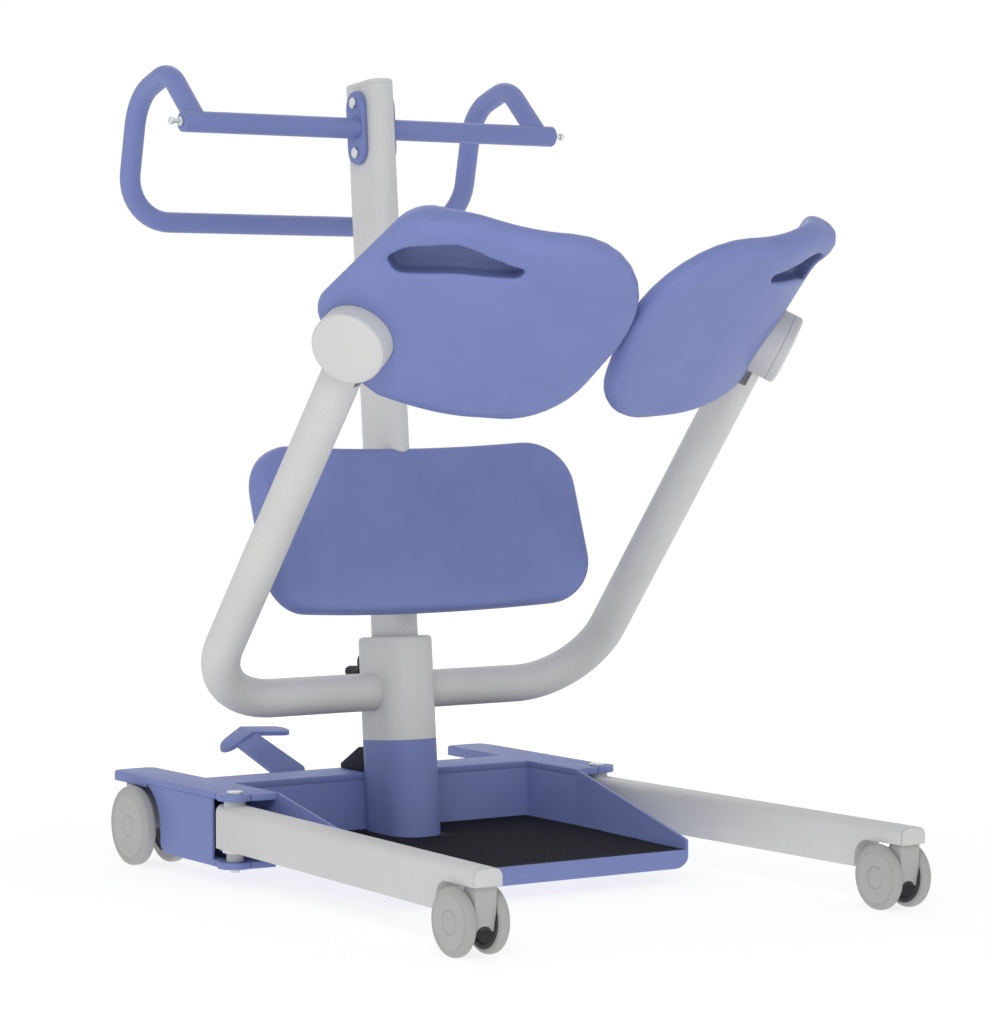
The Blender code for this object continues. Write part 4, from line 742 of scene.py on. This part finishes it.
def in_recess(at):
    """Whether a point of the flat half is on the wall or the floor of the hand hold."""
    return (RECESS_LIP < at.z + SEAT_T / 2 < GRIP_DEPTH + RECESS_PAST and RECESS_FROM.x < at.x < RECESS_TO.x
            and RECESS_FROM.y < at.y < RECESS_TO.y and outside(at.x, at.y) > RECESS_INSIDE)


blanks = [cut(blank, grip_tool.copy()) for blank in (seat_blank, outer_blank)]
seat_mesh = remeshed(joined(*blanks), SEAT_VOXEL, 2)
outside = edge_distance(seat_outline())
for vert in seat_mesh.vertices:
    if vert.co.z < 0:
        near = max(0.0, 1 - outside(vert.co.x, vert.co.y) / RIM_WIDE)
        vert.co.z *= 1 - RIM_FALL * near
recess = [face.index for face in seat_mesh.polygons if in_recess(face.center)]
for vert in seat_mesh.vertices:
    vert.co = seat_surface(*vert.co)
recess_tree = KDTree(len(recess))
for index in recess:
    recess_tree.insert(seat_mesh.polygons[index].center, index)
recess_tree.balance()
print("seat half with", len(seat_mesh.vertices), "points, rolled")

# %% [markdown]
# Round its pivot the pad has a pocket that clears the hub as it turns. The pocket is cut last, so that
# it stays truly round. The cut renumbers the faces, so those of the recess are found again by their place.

# %% The two seat halves
HUB_LEN = 0.053
HUB_STEPS = 72
FLANGE_T = 0.0032
HUB_CAP_T = 0.012
RUNNING_GAP = 0.0012
POCKET_GAP = 0.0005
POCKET_LOW = -HUB_LEN - FLANGE_T - 0.001
POCKET_HIGH = 0.02
SAME_PLACE = 0.0001
FRAME_X, FRAME_Y, FRAME_Z = 0.2936, 0.212, 0.2281
ARM_DEPTH = 0.0424
ARM_TOP = Vector((FRAME_X, *(HUB_FACE - HUB_AXIS * ARM_DEPTH).yz))
ARM_FOOT = Vector((FRAME_X, FRAME_Y, FRAME_Z))
ARM_DOWN = (ARM_FOOT - ARM_TOP).normalized()
HUB_LOCAL_X = (ARM_DOWN - HUB_AXIS * ARM_DOWN.dot(HUB_AXIS)).normalized()
HUB_TURN = Matrix((HUB_LOCAL_X, HUB_AXIS.cross(HUB_LOCAL_X), HUB_AXIS)).transposed()
HUB = Matrix.Translation(HUB_FACE) @ HUB_TURN.to_4x4()

pocket = rod(HUB_R + POCKET_GAP, POCKET_LOW, POCKET_HIGH, HUB_STEPS, HUB)
right_half = shaded(cut(seat_mesh, pocket), ROUND_ANGLE)
for face in right_half.polygons:
    # The recess faces get the second, darker skin, which paints the shade inside the hand hold.
    face.material_index = int(recess_tree.find(face.center)[2] < SAME_PLACE)
print("recess faces:", sum(face.material_index for face in right_half.polygons))
left_half = reflected(right_half)
for side, mesh in (("right", right_half), ("left", left_half)):
    half = piece(f"{side}_seat_half", mesh, f"{side}_seat", "blue_pad", PAD_SKIN, RECESS_SHADE_SKIN)
    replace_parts(half, f"{side}_seat_pad")
print("seat halves with", len(right_half.polygons), "faces each")

# %% [markdown]
# ## The shin pad
# The shin pad is foam on a plate, wide enough for both legs. It curves gently round the user's shins, has
# two shallow channels for them with a low ridge between, and its corners are generously rounded. It is
# made as the seat halves are: a flat blank, evened out, then shaped and bent. Both faces are crowned:
# they sink a little towards the rounded edge, so that the middle stands proud.

# %% The shin pad
SHIN_HALF_W = 0.2475
SHIN_H = 0.222
SHIN_CORNER_R = 0.058
SHIN_TOP_R = 0.066
SHIN_T = 0.039
SHIN_EDGE_R = 0.0145
SHIN_LEAN = radians(19.3)
SHIN_BEND_R = 0.85
SHIN_VOXEL = 0.0034
SHIN_CROWN = 0.0016
SHIN_CROWN_RUN = 0.024
SHIN = Matrix.Translation((0, 0.174, 0.441)) @ Matrix.Rotation(pi / 2 - SHIN_LEAN, 4, "X")
CHANNEL_AT = 0.105
CHANNEL_WIDE = 0.042
CHANNEL_LONG = 0.105
CHANNEL_DEEP = 0.0035
MAST_Y = 0.1898
MAST = Matrix.Translation((0.0, MAST_Y, 0.0)) @ Matrix.Rotation(radians(-4.915), 4, "X")
MAST_W, MAST_L = 0.036, 0.085


def shin_outline():
    w, h = SHIN_HALF_W, SHIN_H / 2
    low, top = SHIN_CORNER_R, SHIN_TOP_R
    corners = [(-w + low, -h + low, low, 180), (w - low, -h + low, low, 270),
               (w - top, h - top, top, 0), (-w + top, h - top, top, 90)]
    return [point for x, y, r, turn in corners for point in round_arc((x, y), r, turn, turn + 90, 10)]


def shin_surface(u, v, w):
    """The bent place of a point of the flat pad."""
    angle = u / SHIN_BEND_R
    bent = SHIN_BEND_R * (1 - cos(angle))
    return SHIN @ Vector(((SHIN_BEND_R - w) * sin(angle), v, w * cos(angle) + bent))


def mast_room(low, high):
    """A tool for the oval hole that the mast runs in."""
    return oval_bar(MAST_W + 2 * RUNNING_GAP, MAST_L + 2 * RUNNING_GAP, low, high, MAST)


shin_mesh = remeshed(closed_blank(shin_outline(), SHIN_T, SHIN_EDGE_R), SHIN_VOXEL, 3)
inside = edge_distance(shin_outline())
for vert in shin_mesh.vertices:
    deep = max(0.0, inside(vert.co.x, vert.co.y) - SHIN_EDGE_R)
    share = min(1.0, abs(vert.co.z) / (SHIN_T / 2))
    vert.co.z -= copysign(SHIN_CROWN * share ** 4 * exp(-deep / SHIN_CROWN_RUN), vert.co.z)
    u, v, w = vert.co
    if w > 0:
        channel = exp(-((abs(u) - CHANNEL_AT) / CHANNEL_WIDE) ** 2) * exp(-(v / CHANNEL_LONG) ** 4)
        w -= CHANNEL_DEEP * channel * (w / (SHIN_T / 2)) ** 2
    vert.co = shin_surface(u, v, w)
shin_form = shaded(cut(shin_mesh, mast_room(0.3, 0.7)), ROUND_ANGLE)
shin = piece("shin_pad_foam", shin_form, "mast", "blue_pad", PAD_SKIN)
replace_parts(shin, "shin_pad")
print("shin pad with", len(shin.data.polygons), "faces")

# %% [markdown]
# ## The mast and its sleeve
# The mast is one oval steel tube that leans towards the carer. It slides in a larger oval sleeve, which the
# seat frame is welded to, and the sleeve stands on the blue socket of the base. The joint between grey
# and blue is only a fine line, so the two ovals share one outline.

# %% The mast and the sleeve
SEAM = 0.0003
MAST_FOOT = 0.06
MAST_TOP = 1.03
CAP_LINE = 0.0002
CAP_T = 0.0063
CAP_EDGE_R = 0.0024
SEAM_AT = 0.165
SLEEVE_TOP = 0.301
SLEEVE_W, SLEEVE_L = 0.0726, 0.1196
SLEEVE_EDGE_R = 0.0055
SOCKET_FOOT = 0.0403
COVER_Y, COVER_TOP = 0.244, 0.063

mast = oval_bar(MAST_W, MAST_L, MAST_FOOT, MAST_TOP - CAP_LINE, MAST)
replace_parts(piece("mast_column", finish_mesh(mast), "mast", *GREY), "mast_tube")
cap = oval_bar(MAST_W, MAST_L, MAST_TOP, MAST_TOP + CAP_T, MAST, edge=CAP_EDGE_R)
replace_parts(piece("mast_cap", finish_mesh(cap), "mast", *GREY), "mast_top_cap")
sleeve = oval_bar(SLEEVE_W, SLEEVE_L, SEAM_AT + SEAM, SLEEVE_TOP, MAST, edge=SLEEVE_EDGE_R)
sleeve_mesh = shaded(cut(sleeve, mast_room(SEAM_AT - 0.02, SLEEVE_TOP + 0.02)))
sleeve_form = piece("sleeve_form", sleeve_mesh, "base", *GREY)
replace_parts(sleeve_form, "frame_sleeve", "mast_guide_bush")
socket = oval_bar(SLEEVE_W, SLEEVE_L, 0.02, SEAM_AT, MAST)
ops.bisect_plane(socket, geom=socket.verts[:] + socket.edges[:] + socket.faces[:],
                 plane_co=(0, 0, SOCKET_FOOT), plane_no=(0, 0, 1), clear_inner=True)
ops.holes_fill(socket, edges=socket.edges)
socket_mesh = shaded(cut(socket, block((-0.1, COVER_Y, 0.0), (0.1, 0.4, COVER_TOP))))
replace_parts(piece("socket_form", socket_mesh, "base", *BLUE), "mast_socket")
print("mast, cap, sleeve and socket")

# %% [markdown]
# ## The seat frame and its hubs
# From each side of the sleeve a 50 mm tube runs out, bends up and leans forward to carry a seat hub. Its
# inner end is cut to fit round the sleeve, and its upper end is cut round the hub and under its lug. The hub
# is a round housing with a thick cap. The cap's rounded edge and the fine line under it are what show.

# %% The frame tubes and hubs
FRAME_R = 0.025
FRAME_BEND_R = 0.104
FRAME_START_X = 0.02
LUG_REACH = 0.065
LUG_IN = 0.0282
FIT = 0.0002
HUB_CAP_EDGE_R = 0.005
CASE_EDGE = 0.0004
CASE_FOOT_EDGE = 0.0008
SHAFT_HOLE_R, SHAFT_HOLE_END = 0.009, 0.04

tube = bent_tube([(FRAME_START_X, FRAME_Y, FRAME_Z), ARM_FOOT, ARM_TOP], [FRAME_BEND_R], FRAME_R, 48, 20)
under_lug = rod(LUG_REACH, -0.15, -LUG_IN, HUB_STEPS, HUB)
hub_room = rod(HUB_R - FIT, -0.16, 0.06, HUB_STEPS, HUB)
saddle = oval_bar(SLEEVE_W + 2 * FIT, SLEEVE_L + 2 * FIT, 0.1, 0.4, MAST)
frame_mesh = shaded(cut(tube, under_lug, hub_room, saddle))
cap_profile = [(0, 0)] + soft_corner(HUB_R, 0.0, HUB_CAP_EDGE_R)[::-1]
cap_profile += [(HUB_R, CASE_EDGE - HUB_CAP_T), (HUB_R - 0.0005, -HUB_CAP_T), (0, -HUB_CAP_T)]
cap_mesh = finish_mesh(turned(cap_profile, HUB_STEPS, HUB))
top = -HUB_CAP_T - SEAM
case_profile = [(0, top), (HUB_R - CASE_EDGE, top), (HUB_R, top - CASE_EDGE),
                (HUB_R, CASE_FOOT_EDGE - HUB_LEN), (HUB_R - CASE_FOOT_EDGE, -HUB_LEN),
                (SHAFT_HOLE_R, -HUB_LEN), (SHAFT_HOLE_R, -SHAFT_HOLE_END), (0, -SHAFT_HOLE_END)]
case_mesh = finish_mesh(turned(case_profile, HUB_STEPS, HUB))
forms = {"frame_bar": (frame_mesh, "seat_frame_tube"), "hub_lid": (cap_mesh, "seat_hub_cap"),
         "hub_case": (case_mesh, "seat_hub")}
for side in ("right", "left"):
    for name, (mesh, node) in forms.items():
        made = piece(f"{side}_{name}", on_side(side, mesh), "base", *GREY)
        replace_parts(made, f"{side}_{node}")
print("frame tubes, hubs and hub caps")

# %% [markdown]
# ## The handlebar
# Two round bars leave the mast through an oval plate on each side, and a loop of the same tube goes on from
# their ends over the top and down to a bar across the carer's side. Each bar ends in a small bright stud.

# %% The handlebar
BAR_R = 0.0138
BAR_Y, BAR_Z = 0.2686, 0.9704
BAR_END_X = 0.286
BAR_EDGE_R = 0.0018
BAR_STEPS = 48
LOOP_X = 0.264
LOOP_SIDE = [(BAR_Y, BAR_Z), (0.345, 1.0407), (0.434, 1.013), (0.4714, 0.8495)]
LOOP_BENDS = [0.044, 0.07, 0.066]
PLATE_T = 0.0077
STUD_R, STUD_L, STUD_EDGE_R = 0.0052, 0.0175, 0.0016
STUD_FOOT = [(0, 0.0), (0.0062, 0.0), (0.0062, 0.0022), (0.0046, 0.0036), (0.0032, 0.0042), (0.0032, 0.0116),
             (0.0046, 0.0122)]
ACROSS = Matrix.Rotation(pi / 2, 4, "Y")

bar_place = Matrix.Translation((0, BAR_Y, BAR_Z)) @ ACROSS
loop_corners = [(LOOP_X, y, z) for y, z in LOOP_SIDE] + [(-LOOP_X, y, z) for y, z in reversed(LOOP_SIDE)]
loop = bent_tube(loop_corners, LOOP_BENDS + LOOP_BENDS[::-1], BAR_R, 36, 12)
bar_tool = rod(BAR_R + FIT, -0.4, 0.4, BAR_STEPS, bar_place)
handle = piece("handlebar_loop", shaded(cut(loop, bar_tool)), "mast", *BLUE)
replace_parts(handle, "handlebar_tube")

bar_start = MAST_W / 2 + SEAM + PLATE_T + SEAM
bar_profile = [(0, bar_start), (BAR_R, bar_start), *soft_corner(BAR_R, BAR_END_X, BAR_EDGE_R), (0, BAR_END_X)]
bar_mesh = finish_mesh(turned(bar_profile, BAR_STEPS, bar_place))
stud_profile = STUD_FOOT + soft_corner(STUD_R, STUD_L, STUD_EDGE_R, 3) + [(0, STUD_L)]
stud_mesh = finish_mesh(turned(stud_profile, 28, bar_place @ Matrix.Translation((0, 0, BAR_END_X + SEAM))))
for side in ("right", "left"):
    bar = piece(f"{side}_grip_bar", on_side(side, bar_mesh), "mast", *BLUE)
    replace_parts(bar, f"{side}_crossbar")
    stud = piece(f"{side}_bar_stud", on_side(side, stud_mesh), "mast", "bright_steel", STEEL)
    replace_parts(stud, f"{side}_end_stud")
    eased(f"{side}_handlebar_plate", *BLUE, 0.0014, 3)
print("handlebar in seven pieces")

# %% [markdown]
# ## The casters
# Each caster has two wheels on a common axle and a hood between them that turns on its stem. A wheel's
# outer face is a smooth shallow dish with a flat disc in the middle, set off by a fine groove, and
# a soft tyre with rounded shoulders is moulded round it. A point of the face's profile says how far it
# lies below the face, and one of a rim counts its radius from the tyre's.

# %% The wheels
AXLE_R = 0.004
AXLE_GAP = 0.0004
TYRE_SHARE = 0.8
SHOULDER_R = 0.006
SHOULDER_DROP = 0.0004
DISC_FACE = [(0.0, 0.0006), (0.012, 0.0006), (0.0132, 0.0011), (0.0135, 0.0018), (0.0139, 0.0018),
             (0.0144, 0.001)]
DISC_RIM = [(-0.004, 0.0002), (-0.0012, 0.0004), (-0.0004, 0.0011), (0.0004, 0.0007)]
BACK_RIM = [(-0.003, 0.0), (-0.0045, 0.0022)]
BACK_DISC = [(0.013, 0.003), (0.011, 0.0004)]
BORE_END = 0.003
BACK_Z = 0.0035


def wheel_form(radius, width):
    """A wheel with its outer face up and its faces marked as disc, tyre or back; the back gets painted shade.
    """
    tyre = radius * TYRE_SHARE
    inner, bore = radius - SHOULDER_R, AXLE_R + AXLE_GAP
    quarter = [radians(15 * i) for i in range(7)]
    rim = [(r, width - down) for r, down in DISC_FACE] + [(tyre + r, width - down) for r, down in DISC_RIM]
    rim += [(inner + SHOULDER_R * sin(a), width - SHOULDER_DROP - SHOULDER_R + SHOULDER_R * cos(a))
            for a in quarter[1:]]
    rim += [(inner + SHOULDER_R * cos(a), SHOULDER_R - SHOULDER_R * sin(a)) for a in quarter]
    rim += [(tyre + r, z) for r, z in BACK_RIM] + BACK_DISC
    rim += [(bore, AXLE_GAP), (bore, width - BORE_END), (0.0, width - BORE_END)]
    bm = turned(rim, 72)
    for face in bm.faces:
        centre = face.calc_center_median()
        # Back faces, which face the hood, get index 2: the darker grey of painted shade.
        face.material_index = 1 if centre.xy.length > tyre else 2 if centre.z < BACK_Z else 0
    return bm


# %% [markdown]
# A hood's side profile rises from a round at its axle to a crown under the stem, with lengths counted from
# the stem or the axle. An arch hollows it from below, and the hollow's faces are marked for a darker grey,
# which is painted shade.

# %% The hoods between the wheels
CASTERS = {
    "front": SimpleNamespace(stem_x=0.3045, stem_y=-0.469, trail=0.0244, radius=0.04, fork_w=0.029,
                             half_w=0.0298, top_z=0.0815, neck=0.0, stem_l=0.015),
    "rear": SimpleNamespace(stem_x=0.2755, stem_y=0.4104, trail=-0.03, radius=0.052, fork_w=0.0364,
                            half_w=0.0365, top_z=0.109, neck=0.0053, stem_l=0.0063)}
CHEEK_T = 0.003
STEM_R = 0.006
NECK_R = 0.012
NOSE_OUT, BACK_OUT = 0.009, 0.014
SHOULDER_Y, SHOULDER_Z = 0.012, 0.008
AXLE_ROUND_R = 0.013
CHIN_Y, CHIN_Z = 0.006, -0.0095
BROW_Y, BROW_Z = 0.0015, 0.012
HOOD_EDGE_R = 0.0022
ARCH_DROP = 0.003
AXLE_SHORT = 0.0032


def fork_form(x, c):
    """The hood between two wheels, with its stem and axle."""
    toward = copysign(1.0, c.trail)
    hub_y = c.stem_y + c.trail
    crown = c.top_z - c.neck
    nose, back = c.stem_y - toward * NOSE_OUT, c.stem_y + toward * BACK_OUT
    profile = [(nose, crown), (back, crown), (hub_y + toward * SHOULDER_Y, c.radius + SHOULDER_Z)]
    profile += [(hub_y + toward * AXLE_ROUND_R * cos(a), c.radius + AXLE_ROUND_R * sin(a))
                for a in (radians(20 - 15 * i) for i in range(11))]
    profile += [(nose + toward * CHIN_Y, c.radius + CHIN_Z), (nose + toward * BROW_Y, c.radius + BROW_Z)]
    bm = bmesh.new()
    face = bm.faces.new([bm.verts.new((x - c.fork_w / 2, y, z)) for y, z in profile])
    side = ops.extrude_face_region(bm, geom=[face])["geom"]
    ops.translate(bm, vec=(c.fork_w, 0, 0), verts=only(BMVert, side))
    ops.recalc_face_normals(bm, faces=bm.faces)
    rims = [e for e in bm.edges if abs(e.verts[0].co.x - e.verts[1].co.x) < TOUCH]
    round_edges(bm, rims, HOOD_EDGE_R, 4)
    arch_r = c.fork_w / 2 - CHEEK_T
    arch_z = c.radius - ARCH_DROP - arch_r
    arch = rod(arch_r, -1.0, 1.0, 48, Matrix.Translation((x, 0, arch_z)) @ Matrix.Rotation(pi / 2, 4, "X"))
    hollow = cut(bm, arch, block((x - arch_r, -1.0, -0.1), (x + arch_r, 1.0, arch_z)))
    for face in hollow.polygons:
        off = hypot(face.center.x - x, max(0.0, face.center.z - arch_z))
        # The faces inside the arch are marked for the darker grey of painted shade.
        face.material_index = int(abs(off - arch_r) < 0.0005 and abs(face.normal.y) < 0.3)
    upright = Matrix.Translation((x, c.stem_y, 0))
    parts = [rod(STEM_R, crown - 0.004, c.top_z + c.stem_l, 24, upright), hollow]
    if c.neck:
        parts.append(rod(NECK_R, crown - 0.001, c.top_z, 40, upright))
    reach = c.half_w - AXLE_SHORT
    parts.append(rod(AXLE_R, -reach, reach, 24, Matrix.Translation((x, hub_y, c.radius)) @ ACROSS))
    return finish_mesh(joined(*parts), outward=False, angle=ROUND_ANGLE)


for place, c in CASTERS.items():
    width = c.half_w - c.fork_w / 2 - SEAM
    for word, side in (("left", -1), ("right", 1)):
        fork = piece(f"{word}_{place}_fork_hood", fork_form(side * c.stem_x, c), f"{word}_{place}_caster",
                     "grey_plastic", CASTER_GREY, PAINTED_SHADE_GREY)
        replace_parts(fork, f"{word}_{place}_caster_fork")
        for end, way in (("outer", side), ("inner", -side)):
            start = Vector((side * c.stem_x + way * (c.fork_w / 2 + SEAM), c.stem_y + c.trail, c.radius))
            bm = wheel_form(c.radius, width)
            bm.transform(Matrix.Translation(start) @ Matrix.Rotation(way * pi / 2, 4, "Y"))
            name = f"{word}_{place}_{end}_wheel"
            made = piece(name + "_form", finish_mesh(bm, angle=ROUND_ANGLE), name, "grey_plastic",
                         CASTER_GREY, TYRE_GREY, PAINTED_SHADE_GREY)
            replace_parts(made, name)
print("four hoods and eight wheels")

# %% [markdown]
# ## Everything that keeps its node
# The rest of the base is laser-cut and folded plate: tray, top plate, channel, skirts and pedal. They are
# copies of their nodes with rounded edges, as a press and a coat of powder leave them, and so are the legs,
# the knob and the cover behind the mast. Small fasteners and the hidden drive keep their nodes and get a
# finish.

# %% Plates with rounded edges
TOP_Z = 0.1173
BACK_WALL_Y = 0.2403
WING_Y = 0.33
WING_X = 0.06


def upper_rim(at):
    """Whether a point is on the top plate's front fold or round one of its wings."""
    on_fold = abs(at.x) > WING_X and abs(at.y - BACK_WALL_Y) < 0.002
    return at.z > TOP_Z - 0.001 and (at.y > WING_Y or on_fold)


eased("base_top_plate", *BLUE, 0.0006, broad=upper_rim, broad_width=0.003)
for node in ("footplate_tray", "base_bottom_channel", "left_side_skirt", "right_side_skirt"):
    eased(node, *BLUE, 0.0007)
eased("foot_pedal", *BLUE, 0.0006)
for side in ("left", "right"):
    eased(f"{side}_leg", *GREY, 0.0008)
    eased(f"{side}_leg_nose_cap", *GREY, 0.001)
eased("clamp_knob", "black_plastic", KNOB_BLACK, 0.001)
eased("socket_rear_cover", "black_plastic", KNOB_BLACK, 0.0016)
print("plates, pedal, legs, knob and cover")

# %% [markdown]
# The mat is rubber with low ribs that run from front to back, so that wet shoes don't slip sideways. A flat
# margin is left along the front edge. Each rib ends at the tray's walls or in front of the mast's socket.

# %% The ribbed mat
MAT_TOP = 0.0437
MAT_BACK_Y = 0.239
RIB_PITCH = 0.0055
RIB_W = 0.0032
RIB_H = 0.001
RIB_LOW = MAT_TOP - 2 * RIB_H
RIB_EDGE = 0.0006
RIBS_HALF_W = 0.224
MARGIN_Y = -0.137
MARGIN_FRONT_Y = -0.1448
MARGIN_HALF_W = 0.209
MARGIN_GAP = 0.0012
WALL_X, WALL_Y, WALL_SLOPE = 0.208, -0.145, 16.8
SOCKET_GAP = 0.003


def rib_form(x):
    """The rib at x, between the margin or a wall and the back or the socket."""
    start, end = MARGIN_Y, MAT_BACK_Y
    if abs(x) > WALL_X:
        start = max(start, WALL_Y + (abs(x) - WALL_X) * WALL_SLOPE)
    if abs(x) < SLEEVE_W / 2 + SOCKET_GAP:
        end = MAST_Y - SLEEVE_L / 2
    rib = block((x - RIB_W / 2, start, RIB_LOW), (x + RIB_W / 2, end, MAT_TOP))
    round_edges(rib, [e for e in rib.edges if middle(e).z > MAT_TOP - 0.0001], RIB_EDGE, 1)
    return rib


mat = merged("footplate_mat")
for vert in mat.verts:
    if abs(vert.co.z - MAT_TOP) < 0.0004:
        vert.co.z -= RIB_H
mat_count = int(RIBS_HALF_W / RIB_PITCH)
ribs = [rib_form(i * RIB_PITCH) for i in range(-mat_count, mat_count + 1)]
margin = block((-MARGIN_HALF_W, MARGIN_FRONT_Y, RIB_LOW), (MARGIN_HALF_W, MARGIN_Y - MARGIN_GAP, MAT_TOP))
mat_mesh = finish_mesh(joined(mat, *ribs, margin), outward=False)
ribbed = piece("ribbed_mat", mat_mesh, "base", "black_mat", MAT_RUBBER)
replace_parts(ribbed, "footplate_mat")
print("mat with", len(ribs), "ribs")

# %% Nodes that keep their shape
for name, node in frame["nodes"].items():
    if not node.hide_render:
        node.data.materials.clear()
        node.data.materials.append(GREY_PAINT if name == "shin_pad_bracket" else STEEL)
print("kept nodes:", [name for name, node in frame["nodes"].items() if not node.hide_render])

# %% [markdown]
# ## Floor and light
# The lift stands on a plain white floor under a white tent of light, with two large soft lamps that add a
# little direction. The floor is white paint that also glows, so that the lift's shadow stays faint, and
# further out it only glows, so that no edge shows.

# %% The white floor
FLOOR_R = 7.0
FLOOR_WHITE = (0.93, 0.93, 0.93, 1.0)
FLOOR_GLOW = 1.12
GLOW_NEAR = 0.72
GLOW_FROM, GLOW_TO = 0.75, 1.7
WHITE = (1, 1, 1, 1)

floor_bm = bmesh.new()
ops.create_circle(floor_bm, cap_ends=True, segments=96, radius=FLOOR_R)
floor = linked("floor", as_mesh(floor_bm, "floor"))

ground = Finish("white_floor", Roughness=0.9, Specular_IOR_Level=0.0, Base_Color=FLOOR_WHITE)
away = ground.add("ShaderNodeVectorMath", {"operation": "LENGTH"}, ground.place())
share = away.between(GLOW_FROM, GLOW_TO) * (1 - GLOW_NEAR) + GLOW_NEAR
glow = ground.add("ShaderNodeEmission", {}, Color=WHITE, Strength=FLOOR_GLOW)
paint = Wire(ground, ground.shader.outputs[0])
mixed = ground.add("ShaderNodeMixShader", {}, share, paint, glow)
ground.put(mixed, ground.tree.nodes["Material Output"].inputs["Surface"])
floor.data.materials.append(ground.material)
print("a floor of", 2 * FLOOR_R, "m across")

# %% [markdown]
# The tent is plain white where it is seen, directly or in a reflection. Its light on matt surfaces is a
# little weaker, and strongest from the sides.

# %% The tent of light
HORIZON_LIGHT = 0.74
ZENITH_LIGHT = 0.52

scene.world = bpy.data.worlds.new("light_tent")
scene.world.use_nodes = True
sky = Graph(scene.world.node_tree)
straight, mirrored, through = [sky.add("ShaderNodeLightPath", {}, out=f"Is {kind} Ray")
                               for kind in ("Camera", "Glossy", "Transmission")]
direction = sky.add("ShaderNodeTexCoord", {}, out="Generated")
height = sky.add("ShaderNodeSeparateXYZ", {}, direction, out="Z")
thrown = sky.add("ShaderNodeMapRange", {}, height, 0.0, 1.0, HORIZON_LIGHT, ZENITH_LIGHT)
seen = straight.larger(mirrored).larger(through)
level = sky.add("ShaderNodeMapRange", {}, seen, 0.0, 1.0, thrown, 1.0)
background = sky.tree.nodes["Background"]
sky.put(WHITE, background.inputs["Color"])
sky.put(level, background.inputs["Strength"])


def softbox(name, at, aim, size, watts):
    """A square lamp that shines from one point towards another."""
    lamp = bpy.data.lights.new(name, "AREA")
    lamp.shape = "SQUARE"
    lamp.size = size
    lamp.energy = watts
    obj = linked(name, lamp)
    obj.location = at
    obj.rotation_mode = "QUATERNION"
    obj.rotation_quaternion = (Vector(aim) - Vector(at)).to_track_quat("-Z", "Y")


softbox("key_light", at=(-2.1, -2.7, 2.4), aim=(0, 0, 0.5), size=1.6, watts=36.0)
softbox("rim_light", at=(1.2, 2.6, 2.8), aim=(0, 0, 0.6), size=1.8, watts=12.0)
scene.view_settings.view_transform = "Standard"
print("a tent of light and two lamps")
